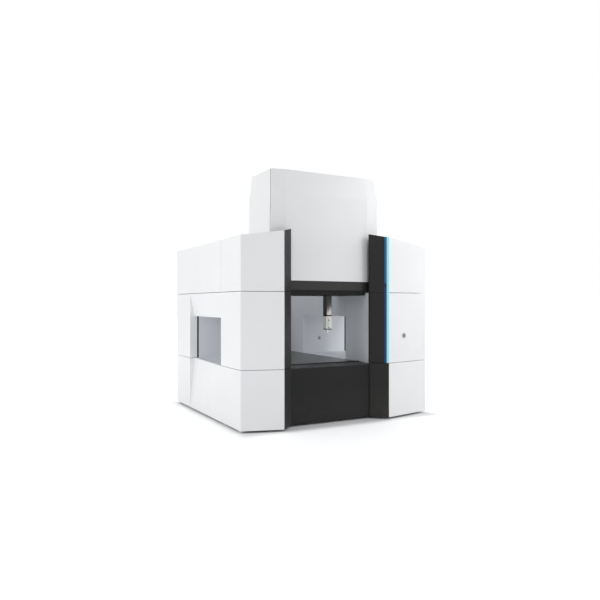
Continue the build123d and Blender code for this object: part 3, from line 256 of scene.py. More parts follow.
settled = maths(coat_tree, "MULTIPLY", settled, coat_in.outputs["Dust"])
cloudy = spread(coat_tree, cloud, 0.3, 0.7, 0.985, 1.015)
tinted = blend_colours(coat_tree, 1.0, coat_in.outputs["Colour"], cloudy, "MULTIPLY")
dusty = blend_colours(coat_tree, settled, tinted, (0.42, 0.40, 0.37, 1))
gloss_change = spread(coat_tree, smear, 0.3, 0.7, -0.05, 0.05)
wire(coat_tree, dusty, coat_out.inputs["Colour"])
wire(
    coat_tree, maths(coat_tree, "ADD", coat_in.outputs["Gloss Level"], gloss_change),
    coat_out.inputs["Roughness"],
)
wire(coat_tree, peel, coat_out.inputs["Height"])


def finish(name, effect, values, metallic=0.0, relief=0.0, distance=0.0005, specular=0.5):
    """A material that takes its colour, roughness and relief from one shared effect."""
    material = bpy.data.materials.new(name)
    material.use_nodes = True
    tree = material.node_tree
    shader = tree.nodes["Principled BSDF"]
    placed = node(tree, "ShaderNodeGroup")
    placed.node_tree = effect
    for label, value in values.items():
        placed.inputs[label].default_value = value
    wire(tree, placed.outputs["Colour"], shader.inputs["Base Color"])
    wire(tree, placed.outputs["Roughness"], shader.inputs["Roughness"])
    shader.inputs["Metallic"].default_value = metallic
    shader.inputs["Specular IOR Level"].default_value = specular
    if relief:
        bump = node(tree, "ShaderNodeBump")
        bump.inputs["Strength"].default_value = relief
        bump.inputs["Distance"].default_value = distance
        wire(tree, placed.outputs["Height"], bump.inputs["Height"])
        wire(tree, bump.outputs["Normal"], shader.inputs["Normal"])
    return material


def grey(level, warm=0.0):
    """A grey, leaning to red where warm is above zero."""
    return (level * (1 + warm), level, level * (1 - warm), 1)


def dress(name, material):
    """Gives a CAD node its finish and leaves its shape."""
    for place in frame["nodes"][name].material_slots:
        place.material = material


def rounded(name, material, radius, segments=2, limit=28):
    """A CAD node's shape with its loose triangles joined and its edges rounded."""
    source = frame["nodes"][name]
    form = bmesh.new()
    form.from_mesh(source.data)
    bmesh.ops.remove_doubles(form, verts=form.verts, dist=2e-5)
    bmesh.ops.dissolve_limit(
        form, angle_limit=radians(0.6), verts=form.verts, edges=form.edges
    )
    mesh = bpy.data.meshes.new(name + "_rounded")
    form.to_mesh(mesh)
    form.free()
    mesh.materials.clear()
    mesh.materials.append(material)
    for face in mesh.polygons:
        face.use_smooth = True
        face.material_index = 0
    piece = bpy.data.objects.new(name + "_rounded", mesh)
    bpy.context.scene.collection.objects.link(piece)
    edge = piece.modifiers.new("edges", "BEVEL")
    edge.width = radius / 1000
    edge.segments = segments
    edge.limit_method = "ANGLE"
    edge.angle_limit = radians(limit)
    flat_faces = piece.modifiers.new("flat_faces", "WEIGHTED_NORMAL")
    flat_faces.weight = 100
    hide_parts(name)
    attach(piece, source["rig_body"])


foundry_paint = finish(
    "foundry_paint", coat_tree,
    {"Colour": grey(0.16, -0.02), "Gloss Level": 0.5, "Peel Size": 0.004, "Dust": 0.5},
    relief=0.35, distance=0.0008,
)
rounded("machine_bed", foundry_paint, 6)

# The air springs: black rubber bellows between zinc-plated plates.
# They are bought in complete, bolted up under the bed and fed with compressed air.
metal_tree, metal_in, metal_out = group(
    "cut_metal",
    [
        ("Colour", "NodeSocketColor", (0.6, 0.6, 0.6, 1)),
        ("Gloss Level", "NodeSocketFloat", 0.35),
        ("Stretch", "NodeSocketVector", (1, 1, 1)),
        ("Grain Size", "NodeSocketFloat", 0.001),
    ],
    SURFACE,
)
metal_place = node(metal_tree, "ShaderNodeTexCoord").outputs["Object"]
metal_way = node(metal_tree, "ShaderNodeVectorMath", operation="MULTIPLY")
wire(metal_tree, metal_place, metal_way.inputs[0])
wire(metal_tree, metal_in.outputs["Stretch"], metal_way.inputs[1])
metal_scale = maths(metal_tree, "DIVIDE", 1.0, metal_in.outputs["Grain Size"])
metal_grain = noise(metal_tree, metal_way.outputs[0], metal_scale, 3.0)
metal_cloud = noise(metal_tree, metal_place, 7.0, 3.0)
metal_change = spread(metal_tree, metal_grain, 0.3, 0.7, 0.88, 1.06)
wire(
    metal_tree,
    blend_colours(metal_tree, 1.0, metal_in.outputs["Colour"], metal_change, "MULTIPLY"),
    metal_out.inputs["Colour"],
)
grain_gloss = spread(metal_tree, metal_grain, 0.3, 0.7, -0.06, 0.06)
cloud_gloss = spread(metal_tree, metal_cloud, 0.3, 0.7, -0.05, 0.05)
metal_gloss = maths(metal_tree, "ADD", grain_gloss, cloud_gloss)
metal_gloss = maths(metal_tree, "MULTIPLY_ADD", metal_gloss, 3.0, 1.0)
wire(
    metal_tree, maths(metal_tree, "MULTIPLY", metal_in.outputs["Gloss Level"], metal_gloss),
    metal_out.inputs["Roughness"],
)
wire(metal_tree, metal_grain, metal_out.inputs["Height"])

zinc_plate = finish(
    "zinc_plate", metal_tree,
    {"Colour": (0.62, 0.63, 0.62, 1), "Gloss Level": 0.38, "Grain Size": 0.012},
    metallic=1.0, relief=0.08,
)
bellows_rubber = finish(
    "bellows_rubber", coat_tree,
    {"Colour": grey(0.022), "Gloss Level": 0.62, "Peel Size": 0.0012, "Dust": 0.6},
    relief=0.25, distance=0.0004,
)
dress("air_spring_feet", zinc_plate)


def joined(name, form, material, body=None, smooth=True):
    """A piece from a bmesh whose points already lie in place."""
    bmesh.ops.remove_doubles(form, verts=form.verts, dist=1e-6)
    bmesh.ops.recalc_face_normals(form, faces=form.faces)
    mesh = bpy.data.meshes.new(name)
    form.to_mesh(mesh)
    form.free()
    mesh.materials.append(material)
    for face in mesh.polygons:
        face.use_smooth = smooth
    piece = bpy.data.objects.new(name, mesh)
    bpy.context.scene.collection.objects.link(piece)
    if body:
        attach(piece, body)
    return piece


def turned(form, profile, place, steps=32, axis=(0, 0, 1)):
    """Adds a shape turned from pairs of radius and height, in millimetres."""
    tilt = Vector((0, 0, 1)).rotation_difference(Vector(axis)).to_matrix()
    rings = []
    for radius, height in profile:
        ring = []
        for i in range(steps if radius else 1):
            turn = 2 * pi * i / steps
            point = Vector((radius * cos(turn), radius * sin(turn), height))
            ring.append(form.verts.new(spot(*place) + tilt @ point / 1000))
        rings.append(ring)
    for low, high in zip(rings, rings[1:]):
        for i in range(steps):
            j = (i + 1) % steps
            below = [low[k % len(low)] for k in (i, j)]
            above = [high[k % len(high)] for k in (j, i)]
            corners = list(dict.fromkeys(below + above))
            if len(corners) > 2:
                form.faces.new(corners)


SPRING_X, SPRING_ROWS = 820, (520, 2450)
BELLOWS_FOOT, BELLOWS_HEIGHT = 22, 156
BELLOWS_RADIUS, LOBE_DEPTH, LOBES, LOBE_STEPS = 111, 9, 2, 32
bellows_profile = [(0, BELLOWS_FOOT)]
for i in range(LOBE_STEPS + 1):
    swell = abs(sin(LOBES * pi * i / LOBE_STEPS)) ** 0.7
    height = BELLOWS_FOOT + BELLOWS_HEIGHT * i / LOBE_STEPS
    bellows_profile.append((BELLOWS_RADIUS + LOBE_DEPTH * swell, height))
bellows_profile.append((0, BELLOWS_FOOT + BELLOWS_HEIGHT))
bellows = bmesh.new()
for x in (-SPRING_X, SPRING_X):
    for y in SPRING_ROWS:
        turned(bellows, bellows_profile, (x, y, 0), steps=48)
joined("air_spring_bellows", bellows, bellows_rubber, "base")

# The measuring table and the walls beside it: fine-grained dark granite, lapped flat.
# The table is bedded on the casting and the walls are bonded beside it.
granite_tree, granite_in, granite_out = group(
    "granite_grain",
    [
        ("Ground", "NodeSocketColor", (0.05, 0.05, 0.05, 1)),
        ("Fleck", "NodeSocketColor", (0.3, 0.3, 0.3, 1)),
        ("Gloss Level", "NodeSocketFloat", 0.3),
        ("Grain Size", "NodeSocketFloat", 0.003),
    ],
    SURFACE,
)
granite_place = node(granite_tree, "ShaderNodeTexCoord").outputs["Object"]
granite_scale = maths(granite_tree, "DIVIDE", 1.0, granite_in.outputs["Grain Size"])
crystals = node(granite_tree, "ShaderNodeTexVoronoi")
wire(granite_tree, granite_place, crystals.inputs["Vector"])
wire(granite_tree, granite_scale, crystals.inputs["Scale"])
crystal_tone = node(granite_tree, "ShaderNodeSeparateColor")
wire(granite_tree, crystals.outputs["Color"], crystal_tone.inputs[0])
speckle_scale = maths(granite_tree, "MULTIPLY", granite_scale, 0.6)
speckle = noise(granite_tree, granite_place, speckle_scale, 4.0, 0.7)
fleck_share = maths(
    granite_tree, "MULTIPLY", spread(granite_tree, crystal_tone.outputs[0], 0.72, 1.0, 0.0, 1.0),
    spread(granite_tree, speckle, 0.35, 0.65, 0.3, 1.0),
)
granite_cloud = noise(granite_tree, granite_place, 3.0, 3.0)
ground = blend_colours(
    granite_tree, 1.0, granite_in.outputs["Ground"],
    spread(granite_tree, granite_cloud, 0.3, 0.7, 0.9, 1.1), "MULTIPLY",
)
wire(
    granite_tree, blend_colours(granite_tree, fleck_share, ground, granite_in.outputs["Fleck"]),
    granite_out.inputs["Colour"],
)
granite_gloss = spread(granite_tree, crystal_tone.outputs[0], 0.0, 1.0, -0.04, 0.06)
wire(
    granite_tree, maths(granite_tree, "ADD", granite_in.outputs["Gloss Level"], granite_gloss),
    granite_out.inputs["Roughness"],
)
wire(granite_tree, crystal_tone.outputs[1], granite_out.inputs["Height"])

lapped_granite = finish(
    "lapped_granite", granite_tree,
    {"Ground": (0.026, 0.028, 0.030, 1), "Fleck": (0.13, 0.135, 0.14, 1), "Gloss Level": 0.30,
     "Grain Size": 0.0035},
    relief=0.03,
)
sawn_granite = finish(
    "sawn_granite", granite_tree,
    {"Ground": (0.11, 0.115, 0.12, 1), "Fleck": (0.34, 0.35, 0.35, 1), "Gloss Level": 0.55,
     "Grain Size": 0.0045},
    relief=0.15,
)
rounded("measuring_table", lapped_granite, 2)
rounded("left_guide_wall", sawn_granite, 3)
rounded("right_guide_wall", sawn_granite, 3)

# Threaded inserts: stainless steel bushes set flush in the table.
# They are bonded into drilled holes and take the clamps that hold a workpiece.
bright_steel = finish(
    "bright_steel", metal_tree,
    {"Colour": (0.66, 0.66, 0.67, 1), "Gloss Level": 0.24, "Grain Size": 0.006},
    metallic=1.0, relief=0.05,
)
rounded("table_inserts", bright_steel, 0.6, segments=1)

# Guideways and motor tracks: ground steel rails on the walls, magnets in a steel channel.
# Rails are bolted down under flush steel plugs, the magnets are glued in at one pitch.
ground_steel = finish(
    "ground_steel", metal_tree,
    {"Colour": (0.56, 0.57, 0.58, 1), "Gloss Level": 0.28, "Stretch": (1, 0.03, 1),
     "Grain Size": 0.002},
    metallic=1.0, relief=0.06,
)
nickel_magnet = finish(
    "nickel_magnet", metal_tree,
    {"Colour": (0.50, 0.48, 0.44, 1), "Gloss Level": 0.3, "Grain Size": 0.01},
    metallic=1.0, relief=0.04,
)
rounded("y_guideways", ground_steel, 1.2)
rounded("y_magnet_tracks", zinc_plate, 1)

row_tree = bpy.data.node_groups.new("rows_of_copies", "GeometryNodeTree")
row_tree.interface.new_socket(name="Piece", in_out="INPUT", socket_type="NodeSocketGeometry")
row_tree.interface.new_socket(name="Rows", in_out="OUTPUT", socket_type="NodeSocketGeometry")
for label, kind, value in (
    ("Across Count", "NodeSocketInt", 1),
    ("Across Step", "NodeSocketVector", (0, 0, 0)),
    ("Along Count", "NodeSocketInt", 1),
    ("Along Step", "NodeSocketVector", (0, 0, 0)),
    ("Finish", "NodeSocketMaterial", None),
):
    row_socket = row_tree.interface.new_socket(name=label, in_out="INPUT", socket_type=kind)
    if value is not None:
        row_socket.default_value = value
row_in, row_out = node(row_tree, "NodeGroupInput"), node(row_tree, "NodeGroupOutput")
copied = row_in.outputs["Piece"]
for way in ("Across", "Along"):
    line = node(row_tree, "GeometryNodeMeshLine", mode="OFFSET")
    placing = node(row_tree, "GeometryNodeInstanceOnPoints")
    wire(row_tree, row_in.outputs[way + " Count"], line.inputs["Count"])
    wire(row_tree, row_in.outputs[way + " Step"], line.inputs["Offset"])
    wire(row_tree, line.outputs["Mesh"], placing.inputs["Points"])
    wire(row_tree, copied, placing.inputs["Instance"])
    copied = placing.outputs["Instances"]
real = node(row_tree, "GeometryNodeRealizeInstances")
coloured = node(row_tree, "GeometryNodeSetMaterial")
wire(row_tree, copied, real.inputs[0])
wire(row_tree, real.outputs[0], coloured.inputs["Geometry"])
wire(row_tree, row_in.outputs["Finish"], coloured.inputs["Material"])
wire(row_tree, coloured.outputs[0], row_out.inputs["Rows"])


def rows(name, form, material, body, along, along_step, across=1, across_step=(0, 0, 0)):
    """Copies of one small piece, placed in rows by the tree above and made one mesh."""
    piece = joined(name, form, material)
    maker = piece.modifiers.new("rows", "NODES")
    maker.node_group = row_tree
    values = {
        "Across Count": across,
        "Across Step": tuple(v / 1000 for v in across_step),
        "Along Count": along,
        "Along Step": tuple(v / 1000 for v in along_step),
        "Finish": material,
    }
    for item in row_tree.interface.items_tree:
        if item.in_out == "INPUT" and item.name in values:
            maker[item.identifier] = values[item.name]
    seen = piece.evaluated_get(bpy.context.evaluated_depsgraph_get())
    made = bpy.data.meshes.new_from_object(seen)
    piece.modifiers.clear()
    piece.data = made
    made.name = name
    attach(piece, body)


def bar(form, x0, x1, y0, y1, z0, z1, edge=0.0):
    """Adds a block between two corners, its edges broken by a small chamfer."""
    made = bmesh.ops.create_cube(form, size=1.0)["verts"]
    low, high = spot(x0, y0, z0), spot(x1, y1, z1)
    for corner in made:
        corner.co = Vector([
            (low[i] + high[i]) / 2 + corner.co[i] * (high[i] - low[i]) for i in range(3)
        ])
    if edge:
        edges = list({e for v in made for e in v.link_edges})
        bmesh.ops.bevel(form, geom=edges, offset=edge / 1000, segments=1, affect="EDGES")


MAGNET_COUNT, MAGNET_PITCH, MAGNET_HALF = 63, 38, 1.5
PLUG_COUNT, PLUG_PITCH, PLUG_RADIUS = 20, 122, 9
PLUG_FOOT, PLUG_TOP = 1750, 1752.08
RAIL_X = 754
plug_profile = [(PLUG_RADIUS, PLUG_FOOT), (PLUG_RADIUS, PLUG_TOP), (0, PLUG_TOP)]
for side, name in ((-1, "left"), (1, "right")):
    for row, row_x in (("inner", 823.6), ("outer", 840.4)):
        magnet = bmesh.new()
        x = side * row_x
        bar(
            magnet, x0=x - MAGNET_HALF, x1=x + MAGNET_HALF, y0=286, y1=320, z0=1711, z1=1745,
            edge=0.5,
        )
        rows(
            f"{name}_{row}_magnets", magnet, nickel_magnet, "base",
            MAGNET_COUNT, (0, MAGNET_PITCH, 0),
        )
    rail_plug = bmesh.new()
    turned(rail_plug, plug_profile, (side * RAIL_X, 320, 0), steps=20)
    rows(
        f"{name}_rail_plugs", rail_plug, bright_steel, "base",
        PLUG_COUNT, (0, PLUG_PITCH, 0),
    )

# The rest of the threaded inserts: the same bushes in a grid of 200 mm, capped when not used.
# The caps are black plastic and push in flush with the granite.
cap_plastic = finish(
    "cap_plastic", coat_tree,
    {"Colour": grey(0.03), "Gloss Level": 0.45, "Peel Size": 0.001, "Dust": 0.1},
    relief=0.08, distance=0.0002,
)
GRID_PITCH = 200
BUSH_RADIUS, BUSH_BORE, CAP_RADIUS, CAP_BREAK = 14, 6.5, 6.4, 0.6
SUNK, BUSH_TOP, CAP_SHOULDER, CAP_TOP = 771, 772.1, 772.3, 772.6
bush_profile = [
    (BUSH_BORE, SUNK), (BUSH_BORE, BUSH_TOP), (BUSH_RADIUS, BUSH_TOP), (BUSH_RADIUS, SUNK),
]
cap_profile = [
    (CAP_RADIUS, SUNK), (CAP_RADIUS, CAP_SHOULDER), (CAP_RADIUS - CAP_BREAK, CAP_TOP), (0, CAP_TOP),
]
for part_name, first_x, first_y, across, across_step, along in (
    ("middle", -200, 817, 3, GRID_PITCH, 8), ("outer", -400, 1017, 2, 4 * GRID_PITCH, 6),
):
    for kind, profile, material in (
        ("bushes", bush_profile, bright_steel), ("caps", cap_profile, cap_plastic),
    ):
        insert = bmesh.new()
        turned(insert, profile, (first_x, first_y, 0), steps=24)
        rows(
            f"table_{kind}_{part_name}", insert, material, "base",
            along, (0, GRID_PITCH, 0), across, (across_step, 0, 0),
        )

# Strips and linings: folded sheet over the ledges and the inner walls, painted white.
# The linings are hung from the walls and their sleeves reach out to the windows.
lining_paint = finish(
    "lining_paint", coat_tree,
    {"Colour": (0.78, 0.80, 0.83, 1), "Gloss Level": 0.42, "Peel Size": 0.0022, "Dust": 0.1},
    relief=0.12, distance=0.0003,
)
rounded("ledge_covers", lining_paint, 1)
dress("left_inner_lining", lining_paint)
dress("right_inner_lining", lining_paint)

# The housing frame: welded square steel tube, galvanised, on flat feet.
# The covers hook on to it; black rubber closes the gap round the windows, white trims its sills.
rounded("housing_frames", zinc_plate, 3)
rounded("window_gaskets", bellows_rubber, 1.5)
seal_rubber = finish(
    "seal_rubber", coat_tree,
    {"Colour": grey(0.008), "Gloss Level": 0.6, "Peel Size": 0.0012, "Dust": 0.1},
    relief=0.1, distance=0.0002, specular=0.15,
)
WINDOW_FRONT, WINDOW_REAR, WINDOW_FOOT, WINDOW_TOP = 815, 2100, 772, 1403
TRIM_HALF, TRIM, TRIM_BREAK = 12, 1.4, 0.4
gasket_lips = bmesh.new()
window_trims = bmesh.new()
for side, frame_x in ((-1, 1206), (1, 1463)):
    x0, x1 = sorted((side * (frame_x - TRIM_HALF), side * (frame_x + TRIM_HALF)))
    for z0, z1 in ((WINDOW_FOOT, WINDOW_FOOT + TRIM), (WINDOW_TOP - TRIM, WINDOW_TOP)):
        bar(window_trims, x0, x1, WINDOW_FRONT, WINDOW_REAR, z0, z1, TRIM_BREAK)
    for y0, y1 in ((WINDOW_FRONT, WINDOW_FRONT + TRIM), (WINDOW_REAR - TRIM, WINDOW_REAR)):
        bar(gasket_lips, x0, x1, y0, y1, WINDOW_FOOT + TRIM, WINDOW_TOP - TRIM, TRIM_BREAK)
joined("gasket_lips", gasket_lips, seal_rubber, "base", smooth=False)
joined("window_trims", window_trims, lining_paint, "base", smooth=False)

# The white covers: folded and welded steel sheet, sprayed in a fine structured white.
# Each tier hooks on to the frame and leaves a shadow gap to the next.
cover_white = finish(
    "cover_white", coat_tree,
    {"Colour": (0.868, 0.872, 0.88, 1), "Gloss Level": 0.40, "Peel Size": 0.0024, "Dust": 0.05},
    relief=0.10, distance=0.0003,
)
for side in ("left", "right"):
    for tier in ("lower", "middle", "upper_front", "upper_rear"):
        rounded(f"{side}_{tier}_cover", cover_white, 3, segments=3, limit=12)
for name in ("tower_inner_panels", "rear_lower_panel", "rear_upper_panel"):
    rounded(name, cover_white, 2)

# Two small three-cornered sheets close the towers' rear ends, from the panel up to the roof.
# They are cut from the covers' steel and welded under the roof's rear edge.
RIDGE_X, RIDGE_TOP, ROOF_FALL, COVER_SHEET = 807, 2499, tan(radians(7.45)), 8
TOWER_INNER, SHEET_FRONT, SHEET_REAR = 868, 2741.2, 2748.6
LAP_BELOW, LAP_ABOVE, END_GAP = 1.5, 1, 1


def under_roof(x):
    """Height of the sloping roof's lower face at a distance from the middle."""
    return RIDGE_TOP - COVER_SHEET - (x - RIDGE_X) * ROOF_FALL


roof_ends = bmesh.new()
for side, cover_x in ((-1, 1328), (1, 1585)):
    end_x, foot = cover_x - COVER_SHEET - END_GAP, under_roof(cover_x) - LAP_BELOW
    outline = (
        (end_x, foot), (TOWER_INNER, foot), (TOWER_INNER, under_roof(TOWER_INNER) + LAP_ABOVE),
        (end_x, under_roof(cover_x) + LAP_ABOVE),
    )
    inner, outer = (
        [roof_ends.verts.new(spot(side * x, y, z)) for x, z in outline]
        for y in (SHEET_FRONT, SHEET_REAR)
    )
    roof_ends.faces.new(inner)
    roof_ends.faces.new(outer)
    for i in range(4):
        j = (i + 1) % 4
        roof_ends.faces.new((inner[i], inner[j], outer[j], outer[i]))
joined("roof_end_sheets", roof_ends, cover_white, "base", smooth=False)

# Front pillars, panel and sill: steel sheet in a fine matt black.
# The pillars are screwed to the frame from behind, the panel lifts off.
cover_black = finish(
    "cover_black", coat_tree,
    {"Colour": (0.0245, 0.024, 0.0235, 1), "Gloss Level": 0.52, "Peel Size": 0.0016, "Dust": 0.08},
    relief=0.16, distance=0.0003, specular=0.16,
)
# The panel's black is the pillars' black made darker. This is painted shade on the low, set-back
# panel.
shaded_panel_black = finish(
    "shaded_panel_black", coat_tree,
    {"Colour": (0.0195, 0.0195, 0.0195, 1), "Gloss Level": 0.55, "Peel Size": 0.0016, "Dust": 0.06},
    relief=0.16, distance=0.0003, specular=0.12,
)
for side in ("left", "right"):
    for tier in ("lower", "middle", "upper"):
        rounded(f"{side}_{tier}_pillar", cover_black, 3, segments=3)
rounded("front_panel", shaded_panel_black, 3, segments=3)
# The sill's black is the pillars' black made lighter. This is painted light on the sill.
lit_sill_black = finish(
    "lit_sill_black", coat_tree,
    {"Colour": (0.034, 0.035, 0.037, 1), "Gloss Level": 0.45, "Peel Size": 0.0016, "Dust": 0.06},
    relief=0.16, distance=0.0003, specular=0.25,
)
rounded("front_sill", lit_sill_black, 2)
table_edge = bmesh.new()
bar(table_edge, x0=-606, x1=606, y0=425, y1=433.6, z0=770.5, z1=781, edge=2)
joined("table_edge_seal", table_edge, seal_rubber, "base", smooth=False)

# The light strip: a satin acrylic bar with blue light behind it, let into the ridge.
# Its outer half is lit, the inner half is printed dark; a small sensor window interrupts it.
light_blue = bpy.data.materials.new("lit_acrylic")
light_blue.use_nodes = True
strip_tree = light_blue.node_tree
strip_shader = strip_tree.nodes["Principled BSDF"]
strip_place = node(strip_tree, "ShaderNodeTexCoord").outputs["Object"]
strip_axes = node(strip_tree, "ShaderNodeSeparateXYZ")
wire(strip_tree, strip_place, strip_axes.inputs[0])
PRINT_EDGE = spot(RIDGE_X - 22.5, 0, 0).x
PRINT_FADE, SENSOR_FADE = 0.001, 0.008
SENSOR_FOOT, SENSOR_TOP = 1.808, 1.87
LIT_ACRYLIC, PRINTED_DARK = (0.28, 0.52, 0.64, 1), (0.002, 0.045, 0.080, 1)
LIT_GLOW, SENSOR_GLOW = (0.26, 0.52, 0.64, 1), (0.001, 0.018, 0.035, 1)
GLOW_ABOVE, GLOW_BELOW = (0.030, 0.190, 0.300, 1), (0.001, 0.075, 0.135, 1)
lit = spread(
    strip_tree, strip_axes.outputs["X"], PRINT_EDGE - PRINT_FADE, PRINT_EDGE + PRINT_FADE, 0.0, 1.0
)
strip_noise = noise(strip_tree, strip_place, 260.0, 2.0)
strip_z = strip_axes.outputs["Z"]
above = spread(strip_tree, strip_z, SENSOR_TOP - SENSOR_FADE, SENSOR_TOP, 0.0, 1.0)
below = spread(strip_tree, strip_z, SENSOR_FOOT, SENSOR_FOOT + SENSOR_FADE, 1.0, 0.0)
window = maths(strip_tree, "SUBTRACT", maths(strip_tree, "SUBTRACT", 1.0, above), below)
inner_glow = blend_colours(strip_tree, above, GLOW_BELOW, GLOW_ABOVE)
inner_glow = blend_colours(strip_tree, window, inner_glow, SENSOR_GLOW)
strip_colour = blend_colours(strip_tree, lit, PRINTED_DARK, LIT_ACRYLIC)
strip_glow = blend_colours(strip_tree, lit, inner_glow, LIT_GLOW)
strip_gloss = spread(strip_tree, strip_noise, 0.3, 0.7, 0.22, 0.3)
wire(strip_tree, strip_colour, strip_shader.inputs["Base Color"])
wire(strip_tree, strip_glow, strip_shader.inputs["Emission Color"])
wire(strip_tree, strip_gloss, strip_shader.inputs["Roughness"])
strip_shader.inputs["Emission Strength"].default_value = 0.55
strip_shader.inputs["Specular IOR Level"].default_value = 0.15
rounded("light_strip", light_blue, 1.5)

# Quarter-turn locks: black plastic in a metal ring, with a slot for a key and a steel tongue.
# They are pushed through the sheet and turn a quarter to free a cover.
lock_plastic = finish(
    "lock_plastic", coat_tree,
    {"Colour": grey(0.10), "Gloss Level": 0.4, "Peel Size": 0.001, "Dust": 0.1},
    relief=0.08, distance=0.0002,
)
rounded("panel_lock", lock_plastic, 1)
rounded("tunnel_lock", lock_plastic, 1)
lock_facing = finish(
    "lock_facing", metal_tree,
    {"Colour": (0.52, 0.53, 0.54, 1), "Gloss Level": 0.38, "Grain Size": 0.0015},
    metallic=0.8, relief=0.05,
)
RING_FOOT, RING_SHOULDER, RING_FACE, RING_BREAK = 6.2, 6.9, 7.2, 0.6
for lock_name, lock_place, lock_axis, inner, outer in (
    ("panel_lock", (1114.3, 61.2, 1141), (0.195, -0.981, 0), 18, 23.5),
    ("tunnel_lock", (940, 2100, 1009), (0, -1, 0), 17, 30.5),
):
    ring_profile = [
        (inner, RING_FOOT), (inner, RING_SHOULDER), (inner + RING_BREAK, RING_FACE),
        (outer - RING_BREAK, RING_FACE), (outer, RING_SHOULDER), (outer, RING_FOOT),
        (inner, RING_FOOT),
    ]
    facing = bmesh.new()
    turned(facing, ring_profile, lock_place, steps=40, axis=lock_axis)
    joined(lock_name + "_facing", facing, lock_facing, lock_name)

# The bridge: cast trucks on the guideways, two ceramic beams across, all on air bearings.
# The beams are bonded and screwed to the trucks, and the motor coils hang in their tracks.
beam_ceramic = finish(
    "beam_ceramic", coat_tree,
    {"Colour": (0.70, 0.68, 0.62, 1), "Gloss Level": 0.35, "Peel Size": 0.001, "Dust": 0.05},
    relief=0.05, distance=0.0002,
)
pad_metal = finish(
    "pad_metal", metal_tree,
    {"Colour": (0.30, 0.31, 0.33, 1), "Gloss Level": 0.34, "Grain Size": 0.001},
    metallic=1.0, relief=0.05,
)
coil_resin = finish(
    "coil_resin", coat_tree,
    {"Colour": (0.05, 0.045, 0.04, 1), "Gloss Level": 0.3, "Peel Size": 0.003, "Dust": 0.1},
    relief=0.05, distance=0.0003,
)
for name in ("left_truck", "right_truck"):
    rounded(name, foundry_paint, 4)
for name in ("front_crossbeam", "rear_crossbeam"):
    rounded(name, beam_ceramic, 1.5)
dress("bridge_air_pads", pad_metal)
dress("y_motor_coils", coil_resin)
rounded("x_magnet_track", nickel_magnet, 1)

# The black band and the pan below it: sheet screwed round the trucks, slotted for the ram.
band_black = finish(
    "band_black", coat_tree,
    {"Colour": (0.030, 0.0288, 0.0275, 1), "Gloss Level": 0.46, "Peel Size": 0.0016, "Dust": 0.05},
    relief=0.16, distance=0.0003, specular=0.22,
)
rounded("bridge_fascia", band_black, 2, segments=3, limit=8)
pan_black = finish(
    "pan_black", coat_tree,
    {"Colour": grey(0.014), "Gloss Level": 0.55, "Peel Size": 0.0016, "Dust": 0.0},
    relief=0.16, distance=0.0003, specular=0.1,
)
rounded("bottom_cover", pan_black, 2)

# The hood: two tall shells of glass-fibre plastic, sprayed white, with a dark parting gap.
# They are laid up in a mould, so their creases are soft, and bolt to the bridge at the foot.
# The hood's white is the covers' white made about 2.5 % darker. This is painted shade that holds
# the hood's tone below the covers'.
shaded_hood_white = finish(
    "shaded_hood_white", coat_tree,
    {"Colour": (0.848, 0.852, 0.86, 1), "Gloss Level": 0.36, "Peel Size": 0.003, "Dust": 0.0},
    relief=0.08, distance=0.0003,
)
HOOD_FOOT, HOOD_SHOULDER, HOOD_TOP = 1892.0, 3038.0, 3345.0
HOOD_BLEND = 14.0
HOOD_FRONT, HOOD_REAR = 277.0, 1077.0
HOOD_FLAT, HOOD_SIDE, HOOD_PARTING = 635.0, 856.0, 14.0
HOOD_FACET, HOOD_RETURN = 45.0, 7.0
HOOD_SIDE_LEAN, HOOD_SHOULDER_LEAN, HOOD_FRONT_LEAN, HOOD_REAR_LEAN = 27, 18, 52, 45
CREASE_RADIUS, FRONT_CORNER_RADIUS, REAR_CORNER_RADIUS = 10.0, 7.0, 32.0
HOOD_BLEND_STEPS = 10


def lean_at(z):
    """How far the slope has gone at a height: 0 below the shoulder, 1 at the top."""
    start = HOOD_SHOULDER - HOOD_BLEND
    full = HOOD_TOP - HOOD_SHOULDER
    if z <= start:
        return 0.0
    if z < HOOD_SHOULDER + HOOD_BLEND:
        return (z - start) ** 2 / (4 * HOOD_BLEND * full)
    return (z - HOOD_SHOULDER) / full


def softened(points, radii, steps=6):
    """An open outline whose inner corners are replaced by arcs."""
    line = [points[0]]
    for before, corner, after, radius in zip(points, points[1:], points[2:], radii):
        a, b = (before - corner).normalized(), (after - corner).normalized()
        half = a.angle(b) / 2
        reach = radius / tan(half)
        centre = corner + (a + b).normalized() * reach / cos(half)
        start, end = corner + a * reach - centre, corner + b * reach - centre
        for i in range(steps + 1):
            way = start.lerp(end, i / steps)
            line.append(centre + way.normalized() * start.length)
    return line + [points[-1]]


def hood_line(z, rear):
    """Plan of a shell at a height, from one side of the parting gap to the other."""
    lean = lean_at(z)
    climb = (z - HOOD_FOOT) / (HOOD_TOP - HOOD_FOOT)
    side = HOOD_SIDE - HOOD_SIDE_LEAN * climb - HOOD_SHOULDER_LEAN * lean
    flat = HOOD_FLAT - HOOD_SHOULDER_LEAN * lean
    front = HOOD_FRONT + HOOD_FRONT_LEAN * lean
    corner = front + HOOD_FACET
    parting = corner + HOOD_RETURN
    if rear:
        back = HOOD_REAR - HOOD_REAR_LEAN * lean
        plan = [
            (side, parting + HOOD_PARTING), (side, back - HOOD_FACET), (flat, back),
            (-flat, back), (-side, back - HOOD_FACET), (-side, parting + HOOD_PARTING),
        ]
    else:
        plan = [
            (-side, parting), (-side, corner), (-flat, front), (flat, front), (side, corner),
            (side, parting),
        ]
    round_off = REAR_CORNER_RADIUS if rear else FRONT_CORNER_RADIUS
    radii = (round_off, CREASE_RADIUS, CREASE_RADIUS, round_off)
    return softened([Vector(p) for p in plan], radii)


